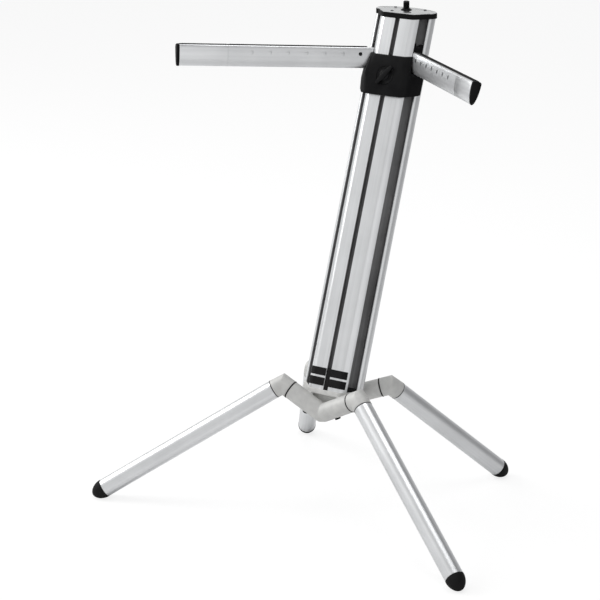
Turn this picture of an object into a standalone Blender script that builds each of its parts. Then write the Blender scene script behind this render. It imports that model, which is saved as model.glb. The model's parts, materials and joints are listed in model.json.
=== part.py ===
"""Column keyboard stand: leaning column, four swivel legs, sliding collar, two folding arms.

Metres, +Z up. The player stands on the -Y side and X = 0 is the symmetry plane.
"""
import math

import bmesh
import bpy
from mathutils import Matrix, Vector

# Clearances
GAP = 0.0003
RUN = 0.0001
FLAT_DEPTH = 0.0008
CUT_REACH = 0.8

# Column: leans back by LEAN; its local Y is rearward (n), its local Z runs up the column (c)
LEAN = math.radians(21.3)
COLUMN_FOOT = Vector((0.0, -0.0381, 0.2480))
COLUMN_TOP_Z = 1.013
HALF_WIDTH = 0.070
FRONT_N = -0.031
FLAT_HALF = 0.031
FACE_EDGE = (0.0468, -0.0214)
MOUTH_CHORD = 0.0199
SLOT_HALF = 0.0053
SLOT_LIP = 0.004
SLOT_CAVITY_HALF = 0.011
SLOT_DEPTH = 0.013
GROOVE_LIP = 0.0035
GROOVE_UNDERCUT = 0.003
GROOVE_DEPTH = 0.022
CORNER_N = 0.004
REAR_RADIUS_N = 0.027
HOLLOW_HALF = 0.0262
HOLLOW_N = (-0.015, 0.0255)
REAR_PORT = (0.036, 0.017, 0.003)
FRONT_PORT = (0.0215, -0.0195, 0.00225)

# Cap
CAP_HEIGHT = 0.012
CAP_TOP_Z = COLUMN_TOP_Z + CAP_HEIGHT
CAP_CENTRE_Z = COLUMN_TOP_Z + CAP_HEIGHT / 3
PLATE_THICK = 0.0015
CAP_OVERHANG = 0.002
STUD_R = 0.00675
STUD_BACK = 0.003
STUD_HEIGHT = 0.0195
FLANGE_R = 0.012
FLANGE_THICK = 0.003

# Base casting
SOCKET_R = 0.020
SEAT_TOP_Z = 0.2640
SEAT_FLOOR = 0.006
WEB_HALF = 0.044
WEB_TOP_Z = 0.2570
WEB_BOTTOM_Z = 0.210
WEB_Y = (-0.060, -0.004)
BAR_FLAT_Z = 0.2000

# Legs: corner point, plan angle and rise of each swivel axis (right-hand side), turn to fold
FRONT_CORNER = Vector((0.0933, -0.0840, 0.2658))
FRONT_PLAN = math.radians(-5.16)
FRONT_RISE = math.radians(28.57)
FRONT_FOLD = math.radians(180)
REAR_CORNER = Vector((0.0965, 0.0472, 0.2587))
REAR_PLAN = math.radians(24.62)
REAR_RISE = math.radians(17.22)
REAR_FOLD = math.radians(133.0)
ELBOW_R = 0.0203
ELBOW_PEAK = 0.82
ELBOW_IN = 0.0200
ELBOW_OUT = 0.0215
WASHER_R = 0.0207
WASHER_THICK = 0.0016
BOLT_R = 0.005
BOLT_REACH = 0.014
TUBE_R = 0.020
TUBE_WALL = 0.0021
SPIGOT_LENGTH = 0.030
FOOT_R = 0.0204
FOOT_LENGTH = 0.029
FOOT_PLUG = 0.016
FOOT_POWER = 1.85

# Collar, in column-section coordinates (x, n) at drops below its horizontal top
COLLAR_DROP = 0.074
COLLAR_TOP_Z = COLUMN_TOP_Z - COLLAR_DROP
COLLAR_LEVELS = (
    (0.000, ((0.0, -0.0375), (0.030, -0.0370), (0.044, -0.0320), (0.0500, -0.0255),
             (0.0575, -0.0180), (0.0660, -0.0095), (0.0718, -0.0030), (0.0720, 0.001))),
    (0.034, ((0.0, -0.0385), (0.038, -0.0380), (0.049, -0.0365), (0.0550, -0.0320),
             (0.0630, -0.0210), (0.0690, -0.0120), (0.0730, -0.0040), (0.0722, 0.001))),
    (0.056, ((0.0, -0.0390), (0.039, -0.0388), (0.050, -0.0370), (0.0570, -0.0325),
             (0.0650, -0.0200), (0.0710, -0.0110), (0.0740, -0.0045), (0.0724, 0.001))),
    (0.080, ((0.0, -0.0385), (0.038, -0.0380), (0.048, -0.0365), (0.0540, -0.0315),
             (0.0610, -0.0210), (0.0680, -0.0115), (0.0726, -0.0035), (0.0722, 0.001))),
)
COLLAR_SLIDE_CLEAR = 0.0004
COLLAR_REACH = 0.2
KNOB_DROP = 0.041
KNOB_Z = COLLAR_TOP_Z - KNOB_DROP
KNOB_N = -0.0345
KNOB_R = 0.0195
KNOB_THICK = 0.004
BOSS_R = 0.0115
BOSS_HEIGHT = 0.0085
WING_LENGTH = 0.048
WING_WIDTH = 0.011
WING_SPAN = (0.0053, 0.0105)
WING_TURN = math.radians(53)
CLAMP_R = 0.004

# Arms: pivot's rise over the collar's top, depth in the groove, droop from square to the column
PIVOT_RISE = 0.0080
ARM_S = (COLLAR_TOP_Z - COLUMN_FOOT.z) / math.cos(LEAN) + PIVOT_RISE
PIVOT_DEPTH = 0.008
ARM_DROOP = math.radians(11.57)
KNUCKLE_R = 0.009
KNUCKLE_HALF = 0.0047
PIN_R = 0.0031
PIN_HALF = 0.0122
ROOT_G = 0.009
ARM_TOP = -0.004
ARM_WIDTH = 0.019
ARM_HEIGHT = 0.045
ARM_WALL = 0.0016
SEAM_X = 0.330
HEAD_END = 0.434
CAP_END = HEAD_END + 0.006
HOLE_FIRST = 0.040
HOLE_PITCH = 0.040
HOLE_COUNT = 7
HOLE_R = 0.0043
HOLE_Z = -0.0195
BUTTON_R = 0.0038
BUTTON_PROUD_Y = 0.00835
BUTTON_TRAVEL = 0.002
BAR_START = 0.0285
PAD_WIDTH = 0.012
PAD_PROUD = 0.002
PAD_SUNK = 0.0007

# Black trim at the foot of the column: distances up the column
BAND_LOWER = (0.013, 0.030)
BAND_UPPER = (0.0345, 0.051)
BAND_THICK = 0.0015
BAND_REACH = 0.8
TRIM_TOP = 0.051
PLUG_START = 0.0006
GROOVE_PLUG_TOP = 0.020

ROUND_STEPS = 28
BORE_STEPS = 16


# Scene helpers

def clear_scene():
    """Remove every object that is already in the file."""
    for ob in list(bpy.data.objects):
        bpy.data.objects.remove(ob, do_unlink=True)


def make_material(name, colour, roughness, metallic):
    """Principled material of one plain colour."""
    mat = bpy.data.materials.new(name)
    mat.use_nodes = True
    shader = mat.node_tree.nodes["Principled BSDF"]
    shader.inputs["Base Color"].default_value = (*colour, 1.0)
    shader.inputs["Roughness"].default_value = roughness
    shader.inputs["Metallic"].default_value = metallic
    mat.diffuse_color = (*colour, 1.0)
    return mat


def add_empty(name, parent, matrix):
    """Empty that carries an assembly or a joint axis."""
    ob = bpy.data.objects.new(name, None)
    ob.empty_display_size = 0.03
    PARTS.objects.link(ob)
    ob.parent = parent
    ob.matrix_basis = matrix
    return ob


def add_part(name, mesh, parent, mat, matrix=None):
    """Named sub-part with its own material, placed in its parent's frame."""
    mesh.name = name
    ob = bpy.data.objects.new(name, mesh)
    PARTS.objects.link(ob)
    ob.parent = parent
    ob.matrix_basis = matrix or Matrix.Identity(4)
    mesh.materials.clear()
    mesh.materials.append(mat)
    mesh.shade_smooth()
    mesh.set_sharp_from_angle(angle=math.radians(32))
    return ob


def add_cutter(name, mesh, parent, matrix=None):
    """Hidden tool body for a Boolean."""
    ob = bpy.data.objects.new(name, mesh)
    CUTTERS.objects.link(ob)
    ob.parent = parent
    ob.matrix_basis = matrix or Matrix.Identity(4)
    ob.hide_render = True
    ob.display_type = 'WIRE'
    return ob


def combine(ob, tool, operation):
    """Boolean of one tool body onto a sub-part."""
    mod = ob.modifiers.new(tool.name, 'BOOLEAN')
    mod.operation = operation
    mod.solver = 'EXACT'
    mod.object = tool
    return mod


def frame_matrix(origin, x_axis, z_axis):
    """Rigid matrix from an origin, an X direction and a Z direction."""
    z = Vector(z_axis).normalized()
    x = Vector(x_axis)
    x = (x - z * x.dot(z)).normalized()
    y = z.cross(x)
    rotation = Matrix((x, y, z)).transposed().to_4x4()
    return Matrix.Translation(Vector(origin)) @ rotation


# Mesh helpers

def finish_mesh(bm, name):
    """Weld, turn faces outward and write a mesh."""
    bmesh.ops.remove_doubles(bm, verts=bm.verts, dist=0.000002)
    bmesh.ops.recalc_face_normals(bm, faces=bm.faces)
    mesh = bpy.data.meshes.new(name)
    bm.to_mesh(mesh)
    bm.free()
    return mesh


def prism(name, loops, low, high):
    """Extruded flat outline; the first loop is the outside, the others are holes."""
    curve = bpy.data.curves.new(name, 'CURVE')
    curve.dimensions = '2D'
    curve.fill_mode = 'BOTH'
    curve.extrude = (high - low) / 2
    for loop in loops:
        spline = curve.splines.new('POLY')
        spline.points.add(len(loop) - 1)
        for point, (x, y) in zip(spline.points, loop):
            point.co = (x, y, 0.0, 1.0)
        spline.use_cyclic_u = True
    holder = bpy.data.objects.new(name, curve)
    bpy.context.scene.collection.objects.link(holder)
    graph = bpy.context.evaluated_depsgraph_get()
    raw = bpy.data.meshes.new_from_object(holder.evaluated_get(graph))
    bm = bmesh.new()
    bm.from_mesh(raw)
    bmesh.ops.translate(bm, verts=bm.verts, vec=(0.0, 0.0, (low + high) / 2))
    bpy.data.objects.remove(holder, do_unlink=True)
    bpy.data.curves.remove(curve)
    bpy.data.meshes.remove(raw)
    return finish_mesh(bm, name)


def loft(name, rings):
    """Closed solid through rings of equal point count."""
    bm = bmesh.new()
    rows = [[bm.verts.new(p) for p in ring] for ring in rings]
    count = len(rows[0])
    for low, high in zip(rows, rows[1:]):
        for i in range(count):
            j = (i + 1) % count
            bm.faces.new((low[i], low[j], high[j], high[i]))
    bm.faces.new(rows[0])
    bm.faces.new(rows[-1])
    return finish_mesh(bm, name)


def box(name, low, high):
    """Box between two corners."""
    bm = bmesh.new()
    size = Vector(high) - Vector(low)
    centre = (Vector(high) + Vector(low)) / 2
    bmesh.ops.create_cube(bm, size=1.0)
    bmesh.ops.scale(bm, vec=size, verts=bm.verts)
    bmesh.ops.translate(bm, vec=centre, verts=bm.verts)
    return finish_mesh(bm, name)


def rods(name, ends, radius, steps=24):
    """Separate round rods, each between two points."""
    bm = bmesh.new()
    for start, stop in ends:
        start = Vector(start)
        along = Vector(stop) - start
        turn = along.to_track_quat('Z', 'Y').to_matrix().to_4x4()
        place = Matrix.Translation(start + along / 2) @ turn
        bmesh.ops.create_cone(bm, cap_ends=True, segments=steps, radius1=radius, radius2=radius,
                              depth=along.length, matrix=place)
    return finish_mesh(bm, name)


def turned(name, profile, parent, mat, matrix=None, steps=ROUND_STEPS, closed=False):
    """Sub-part turned about its local Z with a Screw modifier."""
    bm = bmesh.new()
    verts = [bm.verts.new((r, 0.0, z)) for r, z in profile]
    for a, b in zip(verts, verts[1:]):
        bm.edges.new((a, b))
    if closed:
        bm.edges.new((verts[-1], verts[0]))
    mesh = bpy.data.meshes.new(name)
    bm.to_mesh(mesh)
    bm.free()
    ob = add_part(name, mesh, parent, mat, matrix)
    screw = ob.modifiers.new("turn", 'SCREW')
    screw.axis = 'Z'
    screw.angle = math.tau
    screw.steps = steps
    screw.render_steps = steps
    screw.use_merge_vertices = True
    screw.merge_threshold = 0.00001
    screw.use_smooth_shade = True
    return ob


def circle(radius, steps=ROUND_STEPS):
    """Points of a circle round the origin."""
    return [(radius * math.cos(math.tau * i / steps), radius * math.sin(math.tau * i / steps))
            for i in range(steps)]


def mirrored(half):
    """Full closed loop from a right-hand half that runs front to rear."""
    left = [(-x, y) for x, y in reversed(half) if abs(x) > 1e-9]
    return list(half) + left


def grown(loop, offset):
    """Counter-clockwise loop moved outward by an offset."""
    out = []
    count = len(loop)
    for i in range(count):
        before = Vector(loop[i - 1])
        here = Vector(loop[i])
        after = Vector(loop[(i + 1) % count])
        e1 = (here - before).normalized()
        e2 = (after - here).normalized()
        n1 = Vector((e1.y, -e1.x))
        n2 = Vector((e2.y, -e2.x))
        mid = (n1 + n2).normalized()
        out.append(tuple(here + mid * (offset / max(mid.dot(n1), 0.5))))
    return out


# Column section

def corner_curve(steps):
    """Rounded front corner, from the groove mouth to the widest point."""
    reach = HALF_WIDTH - mouth_outer()[0]
    drop = CORNER_N - mouth_outer()[1]
    centre = (mouth_outer()[0], CORNER_N)
    angles = [math.radians(-90 + 90 * i / steps) for i in range(1, steps + 1)]
    return [(centre[0] + reach * math.cos(a), centre[1] + drop * math.sin(a)) for a in angles]


def rear_curve(steps):
    """Rounded back, from the widest point to the middle."""
    angles = [math.radians(90 * i / steps) for i in range(1, steps + 1)]
    return [(max(HALF_WIDTH * math.cos(a), 0.0), CORNER_N + REAR_RADIUS_N * math.sin(a))
            for a in angles]


def mouth_outer():
    """Outer edge of the groove mouth."""
    side = MOUTH_CHORD * math.sqrt(0.5)
    return (FACE_EDGE[0] + side, FACE_EDGE[1] + side)


def shoulder_curve(steps, reach=1.0):
    """Rounded edge of the front face, from its flat towards the groove mouth."""
    start = Vector((FLAT_HALF, FRONT_N))
    end = Vector(FACE_EDGE)
    knee = Vector((FACE_EDGE[0] - (FACE_EDGE[1] - FRONT_N), FRONT_N))
    points = []
    for i in range(steps + 1):
        t = reach * i / steps
        points.append(tuple(start * (1 - t) ** 2 + knee * 2 * t * (1 - t) + end * t * t))
    return points


def section_half():
    """Right half of the column section with its slot and its groove."""
    g = Vector((math.sqrt(0.5), -math.sqrt(0.5)))
    t = Vector((math.sqrt(0.5), math.sqrt(0.5)))
    inner = Vector(FACE_EDGE)
    outer = Vector(mouth_outer())
    slot = [
        (SLOT_CAVITY_HALF, FRONT_N + SLOT_DEPTH),
        (SLOT_CAVITY_HALF, FRONT_N + SLOT_LIP),
        (SLOT_HALF, FRONT_N + SLOT_LIP),
        (SLOT_HALF, FRONT_N),
    ]
    groove = [
        inner - g * GROOVE_LIP,
        inner - g * GROOVE_LIP - t * GROOVE_UNDERCUT,
        inner - g * GROOVE_DEPTH - t * GROOVE_UNDERCUT,
        outer - g * GROOVE_DEPTH + t * GROOVE_UNDERCUT,
        outer - g * GROOVE_LIP + t * GROOVE_UNDERCUT,
        outer - g * GROOVE_LIP,
        outer,
    ]
    front = slot + shoulder_curve(4)
    return front + [tuple(p) for p in groove] + corner_curve(4) + rear_curve(8)


def hull_loop():
    """Column outline with its slot and its grooves closed."""
    return mirrored(shoulder_curve(4) + [mouth_outer()] + corner_curve(4) + rear_curve(8))


def plan_loop(offset):
    """Outline of the column in a level plane, moved outward."""
    flat = [(x, n / math.cos(LEAN)) for x, n in hull_loop()]
    return grown(flat, offset)


def column_y(z):
    """Y of the section centre at a height."""
    return COLUMN_FOOT.y + (z - COLUMN_FOOT.z) * math.tan(LEAN)


def height_to_s(z, n):
    """Distance up the column at which a level plane is met at depth n."""
    return (z - COLUMN_FOOT.z + n * math.sin(LEAN)) / math.cos(LEAN)


# Column and cap

def build_column(frame, root):
    """Slotted extrusion, cut level at its top."""
    x, n, r = REAR_PORT
    fx, fn, fr = FRONT_PORT
    hollow = [(-HOLLOW_HALF, HOLLOW_N[0]), (HOLLOW_HALF, HOLLOW_N[0]),
              (HOLLOW_HALF, HOLLOW_N[1]), (-HOLLOW_HALF, HOLLOW_N[1])]
    loops = [mirrored(section_half()), hollow]
    for side in (1, -1):
        loops.append([(side * x + a, n + b) for a, b in circle(r, 8)])
        loops.append([(side * fx + a, fn + b) for a, b in circle(fr, 8)])
    length = height_to_s(COLUMN_TOP_Z, -FRONT_N) + 0.02
    ob = add_part("column_profile", prism("column_profile", loops, 0.0, length), frame, ALU)
    level = box("column_top_cut", (-CUT_REACH, -CUT_REACH, COLUMN_TOP_Z),
                (CUT_REACH, CUT_REACH, COLUMN_TOP_Z + CUT_REACH))
    combine(ob, add_cutter("column_top_cut", level, root), 'DIFFERENCE')


def build_cap(root):
    """Black rim, bright plate, screws and the stud with its flange."""
    rim_low = COLUMN_TOP_Z + GAP
    rim_high = CAP_TOP_Z - PLATE_THICK - GAP
    place = Matrix.Translation((0.0, column_y(CAP_CENTRE_Z), 0.0))
    stud_place = place @ Matrix.Translation((0.0, STUD_BACK, 0.0))
    rim = add_part("cap_rim", prism("cap_rim", [plan_loop(CAP_OVERHANG)], rim_low, rim_high),
                   root, BLACK, place)
    plate = add_part("top_plate", prism("top_plate", [plan_loop(0.0005)], rim_high + GAP, CAP_TOP_Z),
                     root, BRIGHT, place)
    bore_low = rim_low + 0.002
    stud_bore = rods("stud_bore", [((0, 0, bore_low), (0, 0, CAP_TOP_Z + 0.01))], STUD_R + GAP, 20)
    centre = add_cutter("stud_bore", stud_bore, root, stud_place)
    for ob in (rim, plate):
        combine(ob, centre, 'DIFFERENCE')
    build_stud(root, stud_place, bore_low)


def build_stud(root, place, bore_low):
    """Black stud in the cap and the flange nut round it."""
    top = CAP_TOP_Z + STUD_HEIGHT
    profile = [(0.0, top), (STUD_R - 0.001, top), (STUD_R, top - 0.001),
               (STUD_R, bore_low + GAP), (0.0, bore_low + GAP)]
    turned("top_stud", profile, root, BLACK, place, steps=20)
    low = CAP_TOP_Z + GAP
    inner = STUD_R + GAP
    nut = [(inner, low + FLANGE_THICK), (FLANGE_R - 0.001, low + FLANGE_THICK),
           (FLANGE_R, low + FLANGE_THICK - 0.001), (FLANGE_R, low), (inner, low)]
    turned("stud_flange_nut", nut, root, BLACK, place, steps=20, closed=True)


def build_trim(frame):
    """Black pads on the front faces and plugs in the slot and the grooves."""
    for side, label in ((1, "right"), (-1, "left")):
        for which, span in (("lower", BAND_LOWER), ("upper", BAND_UPPER)):
            name = "band_" + which + "_" + label
            add_part(name, loft(name, band_rings(side, span)), frame, RUBBER)
        name = "groove_plug_" + label
        add_part(name, loft(name, groove_plug_rings(side)), frame, RUBBER)
    wide = SLOT_CAVITY_HALF - GAP
    neck = SLOT_HALF - GAP
    back = FRONT_N + SLOT_DEPTH - GAP
    shelf = FRONT_N + SLOT_LIP + GAP
    loop = [(-wide, shelf), (-neck, shelf), (-neck, FRONT_N), (neck, FRONT_N),
            (neck, shelf), (wide, shelf), (wide, back), (-wide, back)]
    add_part("slot_plug", prism("slot_plug", [loop], PLUG_START, TRIM_TOP), frame, RUBBER)


def band_rings(side, span):
    """Two end outlines of a pad that lies on the front face and follows its shoulder."""
    path = [(SLOT_HALF + 0.0005, FRONT_N)] + shoulder_curve(4, BAND_REACH)
    skin = shifted(path, GAP)
    loop = skin + shifted(path, GAP + BAND_THICK)[::-1]
    return [[(side * x, n, s) for x, n in loop] for s in span]


def shifted(path, offset):
    """Open path moved outward, square to its run."""
    out = []
    for i, point in enumerate(path):
        before = Vector(path[max(i - 1, 0)])
        after = Vector(path[min(i + 1, len(path) - 1)])
        run = (after - before).normalized()
        out.append(tuple(Vector(point) + Vector((run.y, -run.x)) * offset))
    return out


def groove_plug_rings(side):
    """Two end outlines of the plug that closes the foot of a wide groove."""
    half = MOUTH_CHORD / 2 - GAP
    wide = MOUTH_CHORD / 2 + GROOVE_UNDERCUT - GAP
    lip = -GROOVE_LIP - GAP
    back = -GROOVE_DEPTH + GAP
    loop = [(-0.0008, -half), (lip, -half), (lip, -wide), (back, -wide), (back, wide), (lip, wide),
            (lip, half), (-0.0008, half)]
    centre, g, t = groove_axes(side)
    return [[centre + g * a + t * b + Vector((0.0, 0.0, s)) for a, b in loop]
            for s in (PLUG_START, GROOVE_PLUG_TOP)]


def groove_axes(side):
    """Mouth centre, outward direction and chord direction of a groove, in the column frame."""
    mid = (Vector(FACE_EDGE) + Vector(mouth_outer())) / 2
    centre = Vector((side * mid.x, mid.y, 0.0))
    g = Vector((side * math.sqrt(0.5), -math.sqrt(0.5), 0.0))
    t = Vector((0.0, 0.0, 1.0)).cross(g)
    return centre, g, t


# Legs

def swivel_axis(plan, rise):
    """Right-hand swivel direction from its plan angle and its rise."""
    return Vector((math.cos(plan) * math.cos(rise), math.sin(plan) * math.cos(rise),
                   math.sin(rise)))


def column_axis():
    """Direction up the column."""
    return Vector((0.0, math.sin(LEAN), math.cos(LEAN)))


def leg_direction(u, fold):
    """Leg direction from which a turn of fold about u brings the leg parallel to the column."""
    return (Matrix.Rotation(-fold, 3, u) @ column_axis()).normalized()


def foot_profile():
    """Foot outline as (distance past the tube, radius)."""
    points = []
    for i in range(7):
        a = math.radians(90 * i / 6)
        h = FOOT_LENGTH * math.sin(a) ** (2 / FOOT_POWER)
        r = FOOT_R * max(math.cos(a), 0.0) ** (2 / FOOT_POWER)
        points.append((h, r))
    return points


def leg_length(corner, direction):
    """Length from the corner to the tube's end, so that the foot meets the floor."""
    down = -direction.z
    across = math.sqrt(1 - down * down)
    support = max(h * down + r * across for h, r in foot_profile())
    return (corner.z - support + FLAT_DEPTH) / down


def build_leg(label, corner, plan, rise, fold, side, root):
    """One leg: washer and bolt stay with the base; elbow, tube and foot swivel."""
    u = swivel_axis(plan, rise)
    direction = leg_direction(u, fold)
    length = leg_length(corner, direction)
    flip = Vector((side, 1.0, 1.0))
    u_side = u * flip
    l_side = direction * flip
    at = corner * flip
    swivel = add_empty("swivel_" + label, root, frame_matrix(at, l_side, u_side))
    bend = u_side.angle(l_side)
    build_joint_hardware(label, swivel)
    build_elbow(label, swivel, bend)
    along = add_empty("leg_axis_" + label, swivel, Matrix.Rotation(bend, 4, 'Y'))
    build_tube(label, along, length)
    foot = build_foot(label, along, length)
    combine(foot, FLOOR_CUT, 'DIFFERENCE')


def build_joint_hardware(label, swivel):
    """Washer between socket and elbow, and the bolt through both."""
    top = -ELBOW_IN - GAP
    low = top - WASHER_THICK
    bore = BOLT_R + GAP
    washer = [(bore, top), (WASHER_R - 0.0004, top), (WASHER_R, top - 0.0004),
              (WASHER_R, low + 0.0004), (WASHER_R - 0.0004, low), (bore, low)]
    turned("washer_" + label, washer, swivel, RUBBER, closed=True)
    high = -ELBOW_IN + BOLT_REACH
    base = low - BOLT_REACH
    bolt = [(0.0, high), (BOLT_R - 0.0008, high), (BOLT_R, high - 0.0008),
            (BOLT_R, base + 0.0008), (BOLT_R - 0.0008, base), (0.0, base)]
    turned("swivel_bolt_" + label, bolt, swivel, STEEL, steps=BORE_STEPS)


def build_elbow(label, swivel, bend):
    """Mitred elbow with a spigot for the tube and a blind bore for the bolt."""
    ring = circle(ELBOW_R)
    small = circle(TUBE_R - TUBE_WALL - GAP)
    edge = circle(ELBOW_R - 0.0008)
    slope = math.tan(bend / 2)
    along = Vector((math.sin(bend), 0.0, math.cos(bend)))
    across = Vector((math.cos(bend), 0.0, -math.sin(bend)))
    side = Vector((0.0, 1.0, 0.0))
    rings = [
        [(x, y, -ELBOW_IN) for x, y in edge],
        [(x, y, -ELBOW_IN + 0.0008) for x, y in ring],
        [(x, y, -x * slope * (ELBOW_PEAK if x < 0 else 1.0)) for x, y in ring],
        [along * (ELBOW_OUT - 0.0008) + across * x + side * y for x, y in ring],
        [along * ELBOW_OUT + across * x + side * y for x, y in edge],
        [along * ELBOW_OUT + across * x + side * y for x, y in small],
        [along * (ELBOW_OUT + SPIGOT_LENGTH) + across * x + side * y for x, y in small],
    ]
    ob = add_part("elbow_" + label, loft("elbow_" + label, rings), swivel, CAST)
    ends = [((0, 0, -ELBOW_IN - 0.01), (0, 0, -ELBOW_IN + BOLT_REACH + 0.001))]
    bore = rods("elbow_bore_" + label, ends, BOLT_R + RUN, BORE_STEPS)
    combine(ob, add_cutter("elbow_bore_" + label, bore, swivel), 'DIFFERENCE')


def build_tube(label, along, length):
    """Round leg tube."""
    low = ELBOW_OUT + GAP
    inner = TUBE_R - TUBE_WALL
    profile = [(inner, length), (TUBE_R, length), (TUBE_R, low), (inner, low)]
    turned("leg_tube_" + label, profile, along, ALU, closed=True)


def build_foot(label, along, length):
    """Rubber foot with a plug in the tube and a flat where it stands."""
    base = length + GAP
    dome = [(r, base + 0.0012 + h) for h, r in reversed(foot_profile())]
    dome[0] = (0.0, dome[0][1])
    plug = TUBE_R - TUBE_WALL - GAP
    profile = dome + [(FOOT_R, base), (plug, base), (plug, length - FOOT_PLUG), (0.0, length - FOOT_PLUG)]
    return turned("foot_" + label, profile, along, RUBBER)


# Base casting

def socket_bar(corner, plan, rise, side):
    """Round bar from the middle of the base to a socket's end."""
    u = swivel_axis(plan, rise)
    e1 = Vector((0.0, 1.0, 0.0))
    e1 = (e1 - u * e1.dot(u)).normalized()
    e2 = u.cross(e1)
    end = corner - u * socket_setback()
    rings = []
    for back, radius in ((0.0, SOCKET_R - 0.0008), (0.0008, SOCKET_R)):
        rings.append([end - u * back + e1 * x + e2 * y for x, y in circle(radius)])
    middle = []
    for x, y in circle(SOCKET_R):
        p = end + e1 * x + e2 * y
        middle.append(p - u * ((p.x + 0.0004) / u.x))
    rings.append(middle)
    flip = Vector((side, 1.0, 1.0))
    return [[p * flip for p in ring] for ring in rings]


def socket_setback():
    """Distance from an elbow's corner back to its socket's end face."""
    return ELBOW_IN + WASHER_THICK + 2 * GAP


def build_base(root, frame):
    """One casting: front bar, four sockets, web and the seat that holds the column's foot."""
    front = (FRONT_CORNER, FRONT_PLAN, FRONT_RISE)
    rear = (REAR_CORNER, REAR_PLAN, REAR_RISE)
    ob = add_part("base_casting", loft("base_casting", socket_bar(*front, 1)), root, CAST)
    tools = [("front_bar", loft("front_bar", socket_bar(*front, -1))),
             ("rear_bar_right", loft("rear_bar_right", socket_bar(*rear, 1))),
             ("rear_bar_left", loft("rear_bar_left", socket_bar(*rear, -1))),
             ("web", web_mesh())]
    for name, mesh in tools:
        combine(ob, add_cutter("tool_" + name, mesh, root), 'UNION')
    seat = prism("seat", [grown(hull_loop(), 0.0018)], -SEAT_FLOOR, 0.06)
    seat_tool = add_cutter("tool_seat", seat, frame)
    level = box("seat_level", (-0.2, -0.2, SEAT_TOP_Z), (0.2, 0.2, SEAT_TOP_Z + 0.2))
    combine(seat_tool, add_cutter("seat_level", level, root), 'DIFFERENCE')
    combine(ob, seat_tool, 'UNION')
    pocket = prism("pocket", [grown(hull_loop(), GAP)], -GAP, 0.10)
    combine(ob, add_cutter("pocket", pocket, frame), 'DIFFERENCE')
    below = box("bar_flat", (-0.2, -0.2, 0.1), (0.2, 0.2, BAR_FLAT_Z))
    combine(ob, add_cutter("bar_flat", below, root), 'DIFFERENCE')
    build_base_bores(ob, frame)


def web_mesh():
    """Flat triangular web in front of the column's foot."""
    low, high = WEB_Y
    corners = [(WEB_HALF, WEB_TOP_Z), (-WEB_HALF, WEB_TOP_Z), (0.0, WEB_BOTTOM_Z)]
    return loft("web", [[(x, low, z) for x, z in corners], [(x, high, z) for x, z in corners]])


def build_base_bores(ob, frame):
    """Bores for the four swivel bolts and the two column bolts, and the column bolts."""
    ends = []
    swings = []
    for corner, plan, rise in ((FRONT_CORNER, FRONT_PLAN, FRONT_RISE), (REAR_CORNER, REAR_PLAN, REAR_RISE)):
        for side in (1, -1):
            flip = Vector((side, 1.0, 1.0))
            u = swivel_axis(plan, rise) * flip
            end = corner * flip - u * socket_setback()
            ends.append((end + u * 0.01, end - u * (BOLT_REACH + 0.001)))
            swings.append((end + u * 0.0001, end + u * 0.05))
    swing = rods("swing_clear", swings, WASHER_R + 2 * GAP, ROUND_STEPS)
    combine(ob, add_cutter("swing_clear", swing, ROOT), 'DIFFERENCE')
    bores = rods("bolt_bores", ends, BOLT_R + RUN, BORE_STEPS)
    combine(ob, add_cutter("bolt_bores", bores, ROOT), 'DIFFERENCE')
    x, n, r = REAR_PORT
    shank = r - GAP
    through = rods("column_bolt_bores", [((s * x, n, -0.06), (s * x, n, 0.01)) for s in (1, -1)], r, 12)
    combine(ob, add_cutter("column_bolt_bores", through, frame), 'DIFFERENCE')
    head = -SEAT_FLOOR - GAP
    profile = [(0.0, 0.020), (shank, 0.020), (shank, head), (0.005, head), (0.005, head - 0.0042),
               (0.0042, head - 0.005), (0.0, head - 0.005)]
    for side, label in ((1, "right"), (-1, "left")):
        place = Matrix.Translation((side * x, n, 0.0))
        turned("base_bolt_" + label, profile, frame, STEEL, place, steps=12)


# Collar

def collar_ring(drop, half):
    """One level ring of the collar in the column frame."""
    loop = mirrored(list(half))
    return [(x, n, height_to_s(COLLAR_TOP_Z - drop, n)) for x, n in loop]


def build_collar(frame):
    """Saddle on the front of the column, with a tongue in each groove and slots for the arms."""
    mesh = loft("collar_body", [collar_ring(drop, half) for drop, half in COLLAR_LEVELS])
    ob = add_part("collar_body", mesh, frame, BLACK)
    bevel = ob.modifiers.new("edges", 'BEVEL')
    bevel.width = 0.0016
    bevel.segments = 2
    bevel.limit_method = 'ANGLE'
    bevel.angle_limit = math.radians(40)
    clear = prism("collar_clear", [grown(hull_loop(), COLLAR_SLIDE_CLEAR)],
                  ARM_S - COLLAR_REACH, ARM_S + COLLAR_REACH)
    combine(ob, add_cutter("collar_clear", clear, frame), 'DIFFERENCE')
    for side, label in ((1, "right"), (-1, "left")):
        groove = GROOVES[label]
        tongue = add_cutter("tongue_" + label, tongue_mesh(), groove)
        combine(ob, tongue, 'UNION')
        half = ARM_WIDTH / 2 + COLLAR_SLIDE_CLEAR
        arm_slot = box("arm_slot", (-0.004, -half, ARM_TOP - ARM_HEIGHT - GAP), (0.08, half, 0.08))
        slot = add_cutter("arm_slot_" + label, arm_slot, ARMS[label])
        keep = box("groove_keep", (-0.06, -0.03, -0.12), (ROOT_G - 0.0005, 0.03, 0.15))
        combine(slot, add_cutter("groove_keep_" + label, keep, groove), 'DIFFERENCE')
        combine(ob, slot, 'DIFFERENCE')
        web = KNUCKLE_HALF + GAP
        knuckle = box("knuckle_slot", (-0.020, -web, -0.036), (0.012, web, 0.03))
        combine(ob, add_cutter("knuckle_slot_" + label, knuckle, groove), 'DIFFERENCE')
        pin = rods("pin_bore", [((0, -0.02, 0), (0, 0.02, 0))], PIN_R + RUN, BORE_STEPS)
        combine(ob, add_cutter("pin_bore_" + label, pin, groove), 'DIFFERENCE')
    build_clamp(ob, frame)


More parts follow.
